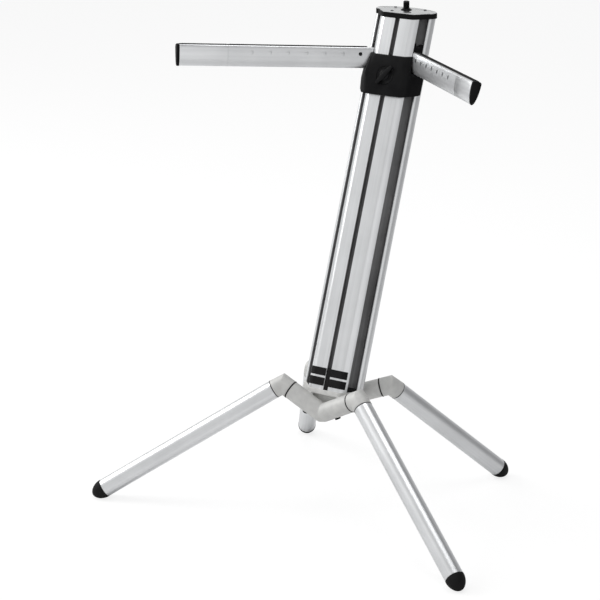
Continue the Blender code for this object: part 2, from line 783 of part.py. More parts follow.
def tongue_mesh():
    """Tongue that hooks behind the lips of a groove, in the groove frame."""
    lip = PIVOT_DEPTH - GROOVE_LIP - GAP
    back = -(GROOVE_DEPTH - PIVOT_DEPTH) + 0.0006
    wide = MOUTH_CHORD / 2 + GROOVE_UNDERCUT - COLLAR_SLIDE_CLEAR
    neck = MOUTH_CHORD / 2 - COLLAR_SLIDE_CLEAR
    outer = PIVOT_DEPTH + 0.003
    low = -0.080
    loop = [(lip, wide), (back, wide), (back, -wide), (lip, -wide), (lip, -neck), (outer, -neck),
            (outer, neck), (lip, neck)]
    flange = [(lip, wide), (back, wide), (back, -wide), (lip, -wide)]
    bm = bmesh.new()
    base = [bm.verts.new((g, t, low)) for g, t in loop]
    mid = [bm.verts.new((g, t, 0.004)) for g, t in loop]
    top = [bm.verts.new((g, t, 0.013)) for g, t in flange]
    for i in range(8):
        j = (i + 1) % 8
        bm.faces.new((base[i], base[j], mid[j], mid[i]))
    bm.faces.new(base)
    bm.faces.new((mid[4], mid[5], mid[6], mid[7]))
    for i in range(3):
        bm.faces.new((mid[i], mid[i + 1], top[i + 1], top[i]))
    bm.faces.new((mid[3], mid[4], mid[7], mid[0], top[0], top[3]))
    bm.faces.new(top)
    return finish_mesh(bm, "tongue")


def build_clamp(collar, frame):
    """T-nut in the front slot, clamp screw and wing knob."""
    s = height_to_s(KNOB_Z, KNOB_N)
    bore = rods("clamp_bore", [((0, -0.08, s), (0, 0.0, s))], CLAMP_R + GAP, 12)
    cutter = add_cutter("clamp_bore", bore, frame)
    combine(collar, cutter, 'DIFFERENCE')
    recess = rods("knob_recess", [((0, -0.08, s), (0, KNOB_N + GAP, s))], KNOB_R + 0.0008, ROUND_STEPS)
    combine(collar, add_cutter("knob_recess", recess, frame), 'DIFFERENCE')
    wide = SLOT_CAVITY_HALF - COLLAR_SLIDE_CLEAR
    near = FRONT_N + SLOT_LIP + GAP
    far = FRONT_N + SLOT_DEPTH - COLLAR_SLIDE_CLEAR
    nut = add_part("t_nut", box("t_nut", (-wide, near, s - 0.016), (wide, far, s + 0.016)), frame, STEEL)
    combine(nut, cutter, 'DIFFERENCE')
    hub = add_empty("knob_axis", frame, frame_matrix((0.0, KNOB_N, s), (1, 0, 0), (0, -1, 0)))
    tip = KNOB_N - (far - 0.0005)
    screw = [(0.0, -GAP), (CLAMP_R, -GAP), (CLAMP_R, tip + 0.001), (CLAMP_R - 0.001, tip), (0.0, tip)]
    turned("clamp_screw", screw, hub, STEEL, steps=12)
    build_knob(hub)


def build_knob(hub):
    """Disc with a boss and a raised finger bar."""
    profile = [(0.0, BOSS_HEIGHT), (BOSS_R - 0.001, BOSS_HEIGHT), (BOSS_R, BOSS_HEIGHT - 0.001),
               (BOSS_R, KNOB_THICK), (KNOB_R - 0.001, KNOB_THICK), (KNOB_R, KNOB_THICK - 0.001),
               (KNOB_R, 0.0), (0.0, 0.0)]
    knob = turned("clamp_knob", profile, hub, BLACK)
    half = WING_LENGTH / 2
    low, high = WING_SPAN
    bar = box("wing", (-half, -WING_WIDTH / 2, low), (half, WING_WIDTH / 2, high))
    wing = add_cutter("wing", bar, hub, Matrix.Rotation(WING_TURN, 4, 'Z'))
    bevel = wing.modifiers.new("edges", 'BEVEL')
    bevel.width = 0.0015
    bevel.segments = 2
    combine(knob, wing, 'UNION')


# Arms

def egg_loop(width, height, top, steps=10):
    """Arm section: flat crowned top, sides drawn in to a round underside."""
    split = 0.15 * height
    half = width / 2
    right = []
    for i in range(1, steps):
        a = math.radians(-90 + 90 * i / steps)
        right.append((half * math.cos(a), top - split + (height - split) * math.sin(a)))
    for i in range(0, 4):
        a = math.radians(90 * i / 4)
        p = 2 / 3.4
        right.append((half * math.cos(a) ** p, top - split + split * math.sin(a) ** p))
    loop = [(0.0, top - height)] + right + [(0.0, top)]
    return loop + [(-y, z) for y, z in reversed(right)]


def along_x(mesh):
    """Turn a prism made along Z so that it runs along X with its section upright."""
    turn = Matrix(((0, 0, 1, 0), (1, 0, 0, 0), (0, 1, 0, 0), (0, 0, 0, 1)))
    mesh.transform(turn)
    return mesh


def build_arm(label, side, collar_groove, arm):
    """One arm: knuckle and plug, sleeve, sliding bar with head, pads, end cap and detent button."""
    inner = -side
    end_cut = box("arm_end_cut", (-0.05, -0.03, -0.12), (ROOT_G, 0.03, 0.03))
    root_cut = add_cutter("arm_end_cut_" + label, end_cut, collar_groove)
    build_arm_root(label, arm, collar_groove)
    build_sleeve(label, arm, root_cut, inner)
    build_bar(label, arm, inner)
    build_pads(label, arm)


def build_arm_root(label, arm, groove):
    """Knuckle in the groove, web and the plug that fills the sleeve's end."""
    width = ARM_WIDTH - 2 * ARM_WALL - 2 * GAP
    height = ARM_HEIGHT - 2 * ARM_WALL - 2 * GAP
    plug_loop = egg_loop(width, height, ARM_TOP - ARM_WALL - GAP)
    plug = along_x(prism("arm_root", [plug_loop], -0.004, BAR_START - GAP))
    ob = add_part("arm_root_" + label, plug, arm, STEEL)
    cut = box("plug_cut", (-0.05, -0.03, -0.12), (ROOT_G, 0.03, 0.03))
    combine(ob, add_cutter("plug_cut_" + label, cut, groove), 'DIFFERENCE')
    k = KNUCKLE_R
    arc = [(k * math.cos(math.radians(a)), k * math.sin(math.radians(a))) for a in range(65, 226, 20)]
    outline = arc + [(0.004, -0.029), (0.018, -0.029), (0.018, ARM_TOP - ARM_WALL - 0.001),
                     (0.0072, ARM_TOP - ARM_WALL - 0.001), (0.0072, 0.0052)]
    rows = [[(x, y, z) for x, z in outline] for y in (-KNUCKLE_HALF, KNUCKLE_HALF)]
    combine(ob, add_cutter("knuckle_" + label, loft("knuckle", rows), arm), 'UNION')
    bore = rods("knuckle_bore", [((0, -0.02, 0), (0, 0.02, 0))], PIN_R + RUN, BORE_STEPS)
    combine(ob, add_cutter("knuckle_bore_" + label, bore, arm), 'DIFFERENCE')
    pin = rods("pivot_pin_" + label, [((0, -PIN_HALF, 0), (0, PIN_HALF, 0))], PIN_R, BORE_STEPS)
    add_part("pivot_pin_" + label, pin, groove, STEEL)


def build_sleeve(label, arm, root_cut, inner):
    """Hollow teardrop sleeve with a row of index holes and a seat for its pad."""
    outer_loop = egg_loop(ARM_WIDTH, ARM_HEIGHT, ARM_TOP)
    inner_loop = egg_loop(ARM_WIDTH - 2 * ARM_WALL, ARM_HEIGHT - 2 * ARM_WALL, ARM_TOP - ARM_WALL)
    mesh = along_x(prism("arm_sleeve", [outer_loop, inner_loop], 0.0, SEAM_X))
    ob = add_part("arm_sleeve_" + label, mesh, arm, ALU)
    combine(ob, root_cut, 'DIFFERENCE')
    deep = BUTTON_PROUD_Y + 0.00025
    way = [(BAR_START, inner * 0.004, HOLE_Z - HOLE_R), (SEAM_X + 0.01, inner * deep, HOLE_Z + HOLE_R)]
    low = [min(a, b) for a, b in zip(*way)]
    high = [max(a, b) for a, b in zip(*way)]
    combine(ob, add_cutter("button_way_" + label, box("button_way", low, high), arm), 'DIFFERENCE')
    ends = []
    for i in range(HOLE_COUNT):
        x = HOLE_FIRST + i * HOLE_PITCH
        ends.append(((x, inner * 0.004, HOLE_Z), (x, inner * 0.014, HOLE_Z)))
    holes = rods("index_holes", ends, HOLE_R, 12)
    combine(ob, add_cutter("index_holes_" + label, holes, arm), 'DIFFERENCE')
    combine(ob, pad_seat(label, arm, "sleeve", -0.01, SEAM_X + 0.01), 'DIFFERENCE')


def pad_seat(label, arm, which, start, stop):
    """Shallow channel cut in an arm's top for its rubber strip."""
    half = PAD_WIDTH / 2 + GAP
    mesh = box("pad_seat", (start, -half, ARM_TOP - PAD_SUNK), (stop, half, ARM_TOP + 0.01))
    return add_cutter("pad_seat_" + which + "_" + label, mesh, arm)


def build_bar(label, arm, inner):
    """Sliding bar with a full-section head, its black end cap and the detent button."""
    width = ARM_WIDTH - 2 * ARM_WALL - 2 * GAP
    height = ARM_HEIGHT - 2 * ARM_WALL - 2 * GAP
    slim = egg_loop(width, height, ARM_TOP - ARM_WALL - GAP)
    bar_mesh = along_x(prism("slide_bar", [slim], BAR_START, SEAM_X + 0.01))
    ob = add_part("slide_bar_" + label, bar_mesh, arm, ALU)
    head = along_x(prism("head", [egg_loop(ARM_WIDTH, ARM_HEIGHT, ARM_TOP)], SEAM_X + GAP, HEAD_END))
    combine(ob, add_cutter("head_" + label, head, arm), 'UNION')
    bore_ends = ((HOLE_FIRST, -inner * 0.0045, HOLE_Z), (HOLE_FIRST, inner * 0.02, HOLE_Z))
    pocket = rods("button_bore", [bore_ends], BUTTON_R + RUN, 12)
    combine(ob, add_cutter("button_bore_" + label, pocket, arm), 'DIFFERENCE')
    combine(ob, pad_seat(label, arm, "head", SEAM_X + GAP - 0.01, HEAD_END + 0.01), 'DIFFERENCE')
    button_base = -inner * (0.0045 - BUTTON_TRAVEL - GAP)
    button_ends = ((HOLE_FIRST, button_base, HOLE_Z), (HOLE_FIRST, inner * BUTTON_PROUD_Y, HOLE_Z))
    button = rods("detent_button", [button_ends], BUTTON_R, 12)
    add_part("detent_button_" + label, button, arm, BLACK)
    cap_loop = egg_loop(ARM_WIDTH + 0.0014, ARM_HEIGHT + 0.0036, ARM_TOP + PAD_PROUD)
    soft_loop = egg_loop(ARM_WIDTH - 0.001, ARM_HEIGHT + 0.001, ARM_TOP + PAD_PROUD - 0.0012)
    rings = [[(HEAD_END + GAP, y, z) for y, z in cap_loop],
             [(CAP_END - 0.0015, y, z) for y, z in cap_loop],
             [(CAP_END, y, z) for y, z in soft_loop]]
    add_part("end_cap_" + label, loft("end_cap", rings), arm, BLACK)


def build_pads(label, arm):
    """Rubber strips on the sleeve and on the head."""
    half = PAD_WIDTH / 2
    low = ARM_TOP - PAD_SUNK + GAP
    high = ARM_TOP + PAD_PROUD
    spans = (("sleeve_pad_", 0.024, SEAM_X - 0.0005), ("head_pad_", SEAM_X + 0.0008, HEAD_END - GAP))
    for which, start, stop in spans:
        rings = [[(x, -half, low), (x, half, low), (x, half, high - 0.0008), (x, half - 0.0012, high),
                  (x, -half + 0.0012, high), (x, -half, high - 0.0008)] for x in (start, stop)]
        add_part(which + label, loft(which, rings), arm, RUBBER)


# Assembly

def centre_footprint(root):
    """Move the assembly so that its bounding box is centred front to back."""
    bpy.context.view_layer.update()
    graph = bpy.context.evaluated_depsgraph_get()
    low, high = 1e9, -1e9
    for ob in PARTS.objects:
        if ob.type != 'MESH':
            continue
        solid = ob.evaluated_get(graph)
        corners = [solid.matrix_world @ Vector(v) for v in solid.bound_box]
        low = min(low, min(v.y for v in corners))
        high = max(high, max(v.y for v in corners))
    root.location.y = -(low + high) / 2
    bpy.context.view_layer.update()


clear_scene()
PARTS = bpy.data.collections.new("keyboard_stand")
CUTTERS = bpy.data.collections.new("cutters")
bpy.context.scene.collection.children.link(PARTS)
bpy.context.scene.collection.children.link(CUTTERS)
ALU = make_material("satin_aluminium", (0.72, 0.73, 0.74), 0.32, 1.0)
CAST = make_material("cast_light_grey", (0.66, 0.65, 0.63), 0.55, 0.0)
BLACK = make_material("black_satin", (0.016, 0.016, 0.018), 0.4, 0.0)
RUBBER = make_material("black_rubber", (0.02, 0.02, 0.021), 0.75, 0.0)
STEEL = make_material("dark_steel", (0.30, 0.30, 0.31), 0.35, 1.0)
BRIGHT = make_material("bright_plate", (0.80, 0.81, 0.82), 0.22, 1.0)

ROOT = add_empty("stand_root", None, Matrix.Identity(4))
FLOOR_CUT = add_cutter("floor_cut", box("floor_cut", (-CUT_REACH,) * 3, (CUT_REACH, CUT_REACH, 0.0)), ROOT)
COLUMN = add_empty("column_frame", ROOT, Matrix.Translation(COLUMN_FOOT) @ Matrix.Rotation(-LEAN, 4, 'X'))
GROOVES = {}
ARMS = {}
for groove_side, groove_label in ((1, "right"), (-1, "left")):
    mouth, outward, chord = groove_axes(groove_side)
    pivot = mouth - outward * PIVOT_DEPTH + Vector((0.0, 0.0, ARM_S))
    pivot_frame = frame_matrix(pivot, outward, (0, 0, 1))
    GROOVES[groove_label] = add_empty("pivot_" + groove_label, COLUMN, pivot_frame)
    droop = Matrix.Rotation(ARM_DROOP, 4, 'Y')
    ARMS[groove_label] = add_empty("arm_axis_" + groove_label, GROOVES[groove_label], droop)

build_base(ROOT, COLUMN)
build_column(COLUMN, ROOT)
build_cap(ROOT)
build_trim(COLUMN)
for leg_side, leg_side_label in ((1, "right"), (-1, "left")):
    build_leg("front_" + leg_side_label, FRONT_CORNER, FRONT_PLAN, FRONT_RISE, FRONT_FOLD,
              leg_side, ROOT)
    build_leg("rear_" + leg_side_label, REAR_CORNER, REAR_PLAN, REAR_RISE, REAR_FOLD,
              leg_side, ROOT)
build_collar(COLUMN)
for arm_side, arm_label in ((1, "right"), (-1, "left")):
    build_arm(arm_label, arm_side, GROOVES[arm_label], ARMS[arm_label])
centre_footprint(ROOT)
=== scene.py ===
"""Looks of a folding column keyboard stand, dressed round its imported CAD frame.

Row frame: metres, +Z up, the player on the -Y side, X = 0 the symmetry plane.
"""

import json
import logging
import math
from dataclasses import dataclass
from enum import Enum
from typing import Callable, Iterable, Sequence

import bmesh
import bpy
from mathutils import Matrix, Vector

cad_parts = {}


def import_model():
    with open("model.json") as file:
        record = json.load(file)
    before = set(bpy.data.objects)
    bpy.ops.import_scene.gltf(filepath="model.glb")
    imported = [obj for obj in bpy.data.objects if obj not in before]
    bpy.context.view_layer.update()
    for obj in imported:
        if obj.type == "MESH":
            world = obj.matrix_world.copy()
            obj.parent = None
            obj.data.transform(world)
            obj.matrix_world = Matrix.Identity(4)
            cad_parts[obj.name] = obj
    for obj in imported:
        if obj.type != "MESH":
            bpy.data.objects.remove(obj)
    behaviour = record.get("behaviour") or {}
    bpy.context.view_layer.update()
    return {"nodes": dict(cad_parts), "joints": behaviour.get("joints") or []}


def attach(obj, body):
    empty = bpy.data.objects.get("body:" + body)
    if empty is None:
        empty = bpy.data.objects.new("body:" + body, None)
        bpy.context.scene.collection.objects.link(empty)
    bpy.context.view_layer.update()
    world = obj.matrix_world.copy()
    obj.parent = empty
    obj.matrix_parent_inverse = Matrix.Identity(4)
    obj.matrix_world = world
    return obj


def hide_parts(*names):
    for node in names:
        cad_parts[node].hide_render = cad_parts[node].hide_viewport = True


LOG = logging.getLogger("keyboard_stand")
GAP = 0.0003
BORE_EASE = 0.0002
SMOOTH_ANGLE = 38.0

Point = tuple[float, float]
Loop = list[Point]
Ring = list[Vector]


class Side(Enum):
    """A side of the symmetry plane."""

    RIGHT = 1
    LEFT = -1

    @property
    def label(self) -> str:
        """Word used in the names of nodes and bodies."""
        return self.name.lower()

    @property
    def flip(self) -> Vector:
        """Factors that carry a right-hand point over to this side."""
        return Vector((self.value, 1.0, 1.0))


class Corner(Enum):
    """Which pair of legs a leg belongs to."""

    FRONT = "front"
    REAR = "rear"


class Operation(Enum):
    """Boolean of one solid onto another."""

    CUT = "DIFFERENCE"
    JOIN = "UNION"


# Node sheets


class Sheet:
    """A Principled material whose node tree is filled from left to right."""

    def __init__(self, name: str) -> None:
        """Start the material.

        Args:
            name: Name of the finish.
        """
        self.material = bpy.data.materials.new(name)
        self.material.use_nodes = True
        self.tree = self.material.node_tree
        self.shader = self.tree.nodes["Principled BSDF"]

    def node(self, kind: str, inputs: dict | None = None, **settings: object) -> bpy.types.Node:
        """Add a node.

        Args:
            kind: Blender's type name of the node.
            inputs: Values or sockets by input name or index.
            settings: Properties of the node.

        Returns:
            The new node.
        """
        made = self.tree.nodes.new(kind)
        for key, value in settings.items():
            setattr(made, key, value)
        for key, value in (inputs or {}).items():
            if isinstance(value, bpy.types.NodeSocket):
                self.tree.links.new(value, made.inputs[key])
            else:
                made.inputs[key].default_value = value
        return made

    def surface(self, **inputs: object) -> None:
        """Set or link the shader's inputs, with underscores for spaces."""
        for key, value in inputs.items():
            name = key.replace("_", " ")
            if isinstance(value, bpy.types.NodeSocket):
                self.tree.links.new(value, self.shader.inputs[name])
            else:
                self.shader.inputs[name].default_value = value

    def coordinates(self, axes: Matrix, scale: Sequence[float]) -> bpy.types.NodeSocket:
        """Object coordinates measured along the axes of a frame and stretched.

        Args:
            axes: Frame whose X, Y and Z the pattern follows.
            scale: Pattern cycles per metre along each axis.

        Returns:
            The vector socket.
        """
        place = self.node("ShaderNodeTexCoord").outputs["Object"]
        moved = self.node("ShaderNodeVectorMath", {0: place, 1: axes.to_translation()},
                          operation="SUBTRACT").outputs[0]
        parts = []
        for column, factor in zip(axes.to_3x3().transposed(), scale):
            dot = self.node("ShaderNodeVectorMath", {0: moved, 1: column * factor},
                            operation="DOT_PRODUCT")
            parts.append(dot.outputs["Value"])
        return self.node("ShaderNodeCombineXYZ", dict(enumerate(parts))).outputs[0]

    def noise(self, vector: bpy.types.NodeSocket, detail: float = 2.0,
              rough: float = 0.5) -> bpy.types.NodeSocket:
        """Noise on ready-made coordinates.

        Args:
            vector: Coordinates of the pattern.
            detail: Octaves.
            rough: Weight of the finer octaves.

        Returns:
            The factor socket.
        """
        made = self.node("ShaderNodeTexNoise",
                         {"Vector": vector, "Scale": 1.0, "Detail": detail, "Roughness": rough})
        return made.outputs["Fac"]

    def span(self, value: bpy.types.NodeSocket, low: float, high: float, to_low: float,
             to_high: float) -> bpy.types.NodeSocket:
        """Map one range onto another.

        Args:
            value: Socket to map.
            low: Value that becomes to_low.
            high: Value that becomes to_high.
            to_low: Result at low.
            to_high: Result at high.

        Returns:
            The mapped socket.
        """
        made = self.node("ShaderNodeMapRange", {"Value": value, "From Min": low, "From Max": high,
                                                "To Min": to_low, "To Max": to_high})
        return made.outputs["Result"]

    def tint(self, factor: bpy.types.NodeSocket, first: Sequence[float],
             second: Sequence[float]) -> bpy.types.NodeSocket:
        """Blend two colours.

        Args:
            factor: 0 for the first colour, 1 for the second.
            first: Linear colour.
            second: Linear colour.

        Returns:
            The colour socket.
        """
        made = self.node("ShaderNodeMix", {0: factor, 6: (*first, 1.0), 7: (*second, 1.0)},
                         data_type="RGBA")
        return made.outputs[2]

    def bump(self, height: bpy.types.NodeSocket, strength: float, distance: float,
             below: bpy.types.NodeSocket | None = None) -> bpy.types.NodeSocket:
        """Bump from a height.

        Args:
            height: Height pattern.
            strength: How much of it shows.
            distance: Depth of the pattern in metres.
            below: Normal that it lies on.

        Returns:
            The normal socket.
        """
        inputs = {"Height": height, "Strength": strength, "Distance": distance}
        if below is not None:
            inputs["Normal"] = below
        return self.node("ShaderNodeBump", inputs).outputs["Normal"]


# Finishes


@dataclass(frozen=True)
class DrawnAluminium:
    """Satin anodised aluminium with die lines along the extrusion."""

    colour: tuple[float, float, float] = (0.80, 0.81, 0.82)
    shade: tuple[float, float, float] = (0.70, 0.71, 0.72)
    roughness: tuple[float, float] = (0.30, 0.38)
    metallic: float = 0.92
    line_pitch: float = 1500.0
    line_depth: float = 0.00002

    def build(self, name: str, axes: Matrix) -> bpy.types.Material:
        """Make the material.

        Args:
            name: Name of the material.
            axes: Frame whose Z runs along the extrusion.

        Returns:
            The material.
        """
        sheet = Sheet(name)
        pitch = self.line_pitch
        fine = sheet.noise(sheet.coordinates(axes, (pitch, pitch, 7.0)), 3.0, 0.6)
        broad = sheet.noise(sheet.coordinates(axes, (210.0, 210.0, 2.0)), 2.0)
        touch = sheet.noise(sheet.coordinates(axes, (16.0, 16.0, 11.0)), 3.0)
        uneven = sheet.span(touch, 0.3, 0.7, -0.25, 0.25)
        tone = sheet.node("ShaderNodeMath", {0: broad, 1: uneven}, operation="ADD").outputs[0]
        colour = sheet.tint(sheet.span(tone, 0.25, 0.85, 0.0, 1.0), self.colour, self.shade)
        rough = sheet.span(fine, 0.3, 0.7, *self.roughness)
        sheet.surface(Base_Color=colour, Metallic=self.metallic, Roughness=rough,
                      Normal=sheet.bump(fine, 0.35, self.line_depth))
        return sheet.material


@dataclass(frozen=True)
class CastPaint:
    """Matte warm-grey powder coat on a die casting."""

    colour: tuple[float, float, float] = (0.62, 0.62, 0.605)
    shade: tuple[float, float, float] = (0.54, 0.54, 0.53)
    roughness: tuple[float, float] = (0.50, 0.62)

    def build(self, name: str, axes: Matrix) -> bpy.types.Material:
        """Make the material.

        Args:
            name: Name of the material.
            axes: Frame that the grain follows.

        Returns:
            The material.
        """
        sheet = Sheet(name)
        peel = sheet.noise(sheet.coordinates(axes, (1300.0, 1300.0, 1300.0)), 2.0, 0.55)
        flow = sheet.noise(sheet.coordinates(axes, (60.0, 60.0, 60.0)), 4.0, 0.6)
        speck = sheet.noise(sheet.coordinates(axes, (4200.0, 4200.0, 4200.0)), 1.0)
        colour = sheet.tint(sheet.span(flow, 0.35, 0.7, 0.0, 1.0), self.colour, self.shade)
        rough = sheet.span(speck, 0.3, 0.7, *self.roughness)
        normal = sheet.bump(flow, 0.25, 0.0004, sheet.bump(peel, 0.30, 0.00012))
        sheet.surface(Base_Color=colour, Metallic=0.15, Roughness=rough, Normal=normal)
        return sheet.material


@dataclass(frozen=True)
class BlackPolymer:
    """Black moulded nylon with a fine spark-eroded grain."""

    colour: tuple[float, float, float] = (0.0045, 0.0045, 0.005)
    shade: tuple[float, float, float] = (0.008, 0.008, 0.0085)
    roughness: tuple[float, float] = (0.34, 0.48)
    grain: float = 1900.0
    gloss: float = 0.09

    def build(self, name: str, axes: Matrix) -> bpy.types.Material:
        """Make the material.

        Args:
            name: Name of the material.
            axes: Frame that the grain follows.

        Returns:
            The material.
        """
        sheet = Sheet(name)
        grain = sheet.noise(sheet.coordinates(axes, (self.grain,) * 3), 3.0, 0.65)
        wear = sheet.noise(sheet.coordinates(axes, (45.0, 45.0, 30.0)), 4.0, 0.6)
        colour = sheet.tint(sheet.span(wear, 0.35, 0.75, 0.0, 1.0), self.colour, self.shade)
        rough = sheet.span(wear, 0.3, 0.7, *self.roughness)
        sheet.surface(Base_Color=colour, Roughness=rough, Specular_IOR_Level=self.gloss,
                      Normal=sheet.bump(grain, 0.35, 0.00008))
        return sheet.material


@dataclass(frozen=True)
class Rubber:
    """Dull black rubber with dust-pale patches."""

    colour: tuple[float, float, float] = (0.007, 0.007, 0.007)
    shade: tuple[float, float, float] = (0.013, 0.013, 0.0135)
    gloss: float = 0.14

    def build(self, name: str, axes: Matrix) -> bpy.types.Material:
        """Make the material.

        Args:
            name: Name of the material.
            axes: Frame that the pattern follows.

        Returns:
            The material.
        """
        sheet = Sheet(name)
        pores = sheet.noise(sheet.coordinates(axes, (2600.0,) * 3), 2.0, 0.7)
        dust = sheet.noise(sheet.coordinates(axes, (70.0,) * 3), 5.0, 0.6)
        colour = sheet.tint(sheet.span(dust, 0.4, 0.8, 0.0, 1.0), self.colour, self.shade)
        rough = sheet.span(dust, 0.3, 0.7, 0.58, 0.74)
        sheet.surface(Base_Color=colour, Roughness=rough, Specular_IOR_Level=self.gloss,
                      Normal=sheet.bump(pores, 0.4, 0.0001))
        return sheet.material


@dataclass(frozen=True)
class TurnedSteel:
    """Plated steel with fine turning rings."""

    colour: tuple[float, float, float] = (0.42, 0.42, 0.43)
    shade: tuple[float, float, float] = (0.34, 0.34, 0.35)
    roughness: tuple[float, float] = (0.24, 0.36)
    metallic: float = 1.0

    def build(self, name: str, axes: Matrix) -> bpy.types.Material:
        """Make the material.

        Args:
            name: Name of the material.
            axes: Frame whose Z is the turning axis.

        Returns:
            The material.
        """
        sheet = Sheet(name)
        rings = sheet.noise(sheet.coordinates(axes, (30.0, 30.0, 5200.0)), 2.0)
        stain = sheet.noise(sheet.coordinates(axes, (120.0,) * 3), 3.0)
        colour = sheet.tint(sheet.span(stain, 0.35, 0.7, 0.0, 1.0), self.colour, self.shade)
        rough = sheet.span(rings, 0.3, 0.7, *self.roughness)
        sheet.surface(Base_Color=colour, Metallic=self.metallic, Roughness=rough,
                      Normal=sheet.bump(rings, 0.25, 0.00002))
        return sheet.material


# Solids


def new_object(name: str, mesh: bpy.types.Mesh) -> bpy.types.Object:
    """Link an object for a mesh.

    Args:
        name: Name of the piece.
        mesh: Its mesh, already in place.

    Returns:
        The object, at the origin.
    """
    mesh.name = name
    made = bpy.data.objects.new(name, mesh)
    bpy.context.scene.collection.objects.link(made)
    return made


def close_mesh(bm: bmesh.types.BMesh, name: str, weld: float = 0.000002) -> bpy.types.Mesh:
    """Weld a bmesh, turn its faces outward and write it out.

    Args:
        bm: The bmesh, freed here.
        name: Name of the mesh.
        weld: Distance under which points merge.

    Returns:
        The mesh.
    """
    bmesh.ops.remove_doubles(bm, verts=bm.verts, dist=weld)
    bmesh.ops.recalc_face_normals(bm, faces=bm.faces)
    mesh = bpy.data.meshes.new(name)
    bm.to_mesh(mesh)
    bm.free()
    return mesh


def baked(thing: bpy.types.Object) -> bpy.types.Object:
    """Turn an object's live modifiers into plain mesh.

    Args:
        thing: Object with modifiers.

    Returns:
        The same object, without modifiers.
    """
    graph = bpy.context.evaluated_depsgraph_get()
    mesh = bpy.data.meshes.new_from_object(thing.evaluated_get(graph))
    old = thing.data
    thing.modifiers.clear()
    thing.data = mesh
    mesh.name = thing.name
    bpy.data.meshes.remove(old)
    return thing


def combined(thing: bpy.types.Object, tool: bpy.types.Object,
             operation: Operation = Operation.CUT) -> bpy.types.Object:
    """Apply a Boolean and remove the tool.

    Args:
        thing: Solid that stays.
        tool: Solid that is used up.
        operation: Cut or join.

    Returns:
        The solid that stays.
    """
    modifier = thing.modifiers.new("combine", "BOOLEAN")
    modifier.operation = operation.value
    modifier.solver = "EXACT"
    modifier.object = tool
    baked(thing)
    bpy.data.objects.remove(tool, do_unlink=True)
    return thing


def eased(thing: bpy.types.Object, width: float, segments: int = 2,
          angle: float = 35.0) -> bpy.types.Object:
    """Round a solid's edges.

    Args:
        thing: Solid to ease.
        width: Width of the rounding.
        segments: Steps across it.
        angle: Edges sharper than this are rounded, in degrees.

    Returns:
        The solid.
    """
    modifier = thing.modifiers.new("ease", "BEVEL")
    modifier.width = width
    modifier.segments = segments
    modifier.limit_method = "ANGLE"
    modifier.angle_limit = math.radians(angle)
    modifier.use_clamp_overlap = True
    return baked(thing)


def shaded(thing: bpy.types.Object, material: bpy.types.Material,
           angle: float = SMOOTH_ANGLE) -> bpy.types.Object:
    """Smooth a solid up to an angle and give it its finish.

    Args:
        thing: Solid to dress.
        material: Its finish.
        angle: Edges sharper than this stay crisp, in degrees.

    Returns:
        The solid.
    """
    thing.data.materials.clear()
    thing.data.materials.append(material)
    thing.data.shade_smooth()
    thing.data.set_sharp_from_angle(angle=math.radians(angle))
    return thing


def levelled(thing: bpy.types.Object) -> bpy.types.Object:
    """Weight a shaded solid's normals by face area, so that broad faces look flat."""
    modifier = thing.modifiers.new("level", "WEIGHTED_NORMAL")
    modifier.keep_sharp = True
    return baked(thing)


def loft(name: str, rings: Sequence[Sequence[Vector]]) -> bpy.types.Object:
    """Closed solid through rings of equal point count.

    Args:
        name: Name of the solid.
        rings: Rings in order, each a list of points.

    Returns:
        The solid.
    """
    bm = bmesh.new()
    rows = [[bm.verts.new(point) for point in ring] for ring in rings]
    count = len(rows[0])
    for low, high in zip(rows, rows[1:]):
        for i in range(count):
            j = (i + 1) % count
            bm.faces.new((low[i], low[j], high[j], high[i]))
    bm.faces.new(rows[0])
    bm.faces.new(rows[-1])
    return new_object(name, close_mesh(bm, name))


def prism(name: str, loops: Sequence[Loop], low: float, high: float,
          place: Matrix | None = None) -> bpy.types.Object:
    """Extruded flat outline; the first loop is the outside, the others are holes.

    Args:
        name: Name of the solid.
        loops: Outlines in the X Y plane.
        low: Start along Z.
        high: End along Z.
        place: Frame that carries the solid into the row frame.

    Returns:
        The solid.
    """
    curve = bpy.data.curves.new(name, "CURVE")
    curve.dimensions = "2D"
    curve.fill_mode = "BOTH"
    curve.extrude = (high - low) / 2
    for loop in loops:
        spline = curve.splines.new("POLY")
        spline.points.add(len(loop) - 1)
        for point, (x, y) in zip(spline.points, loop):
            point.co = (x, y, 0.0, 1.0)
        spline.use_cyclic_u = True
    holder = new_curve_holder(name, curve)
    graph = bpy.context.evaluated_depsgraph_get()
    raw = bpy.data.meshes.new_from_object(holder.evaluated_get(graph))
    bpy.data.objects.remove(holder, do_unlink=True)
    bpy.data.curves.remove(curve)
    bm = bmesh.new()
    bm.from_mesh(raw)
    bpy.data.meshes.remove(raw)
    bmesh.ops.translate(bm, verts=bm.verts, vec=(0.0, 0.0, (low + high) / 2))
    mesh = close_mesh(bm, name)
    if place is not None:
        mesh.transform(place)
    return new_object(name, mesh)


def new_curve_holder(name: str, curve: bpy.types.Curve) -> bpy.types.Object:
    """Link an object for a curve."""
    holder = bpy.data.objects.new(name, curve)
    bpy.context.scene.collection.objects.link(holder)
    return holder


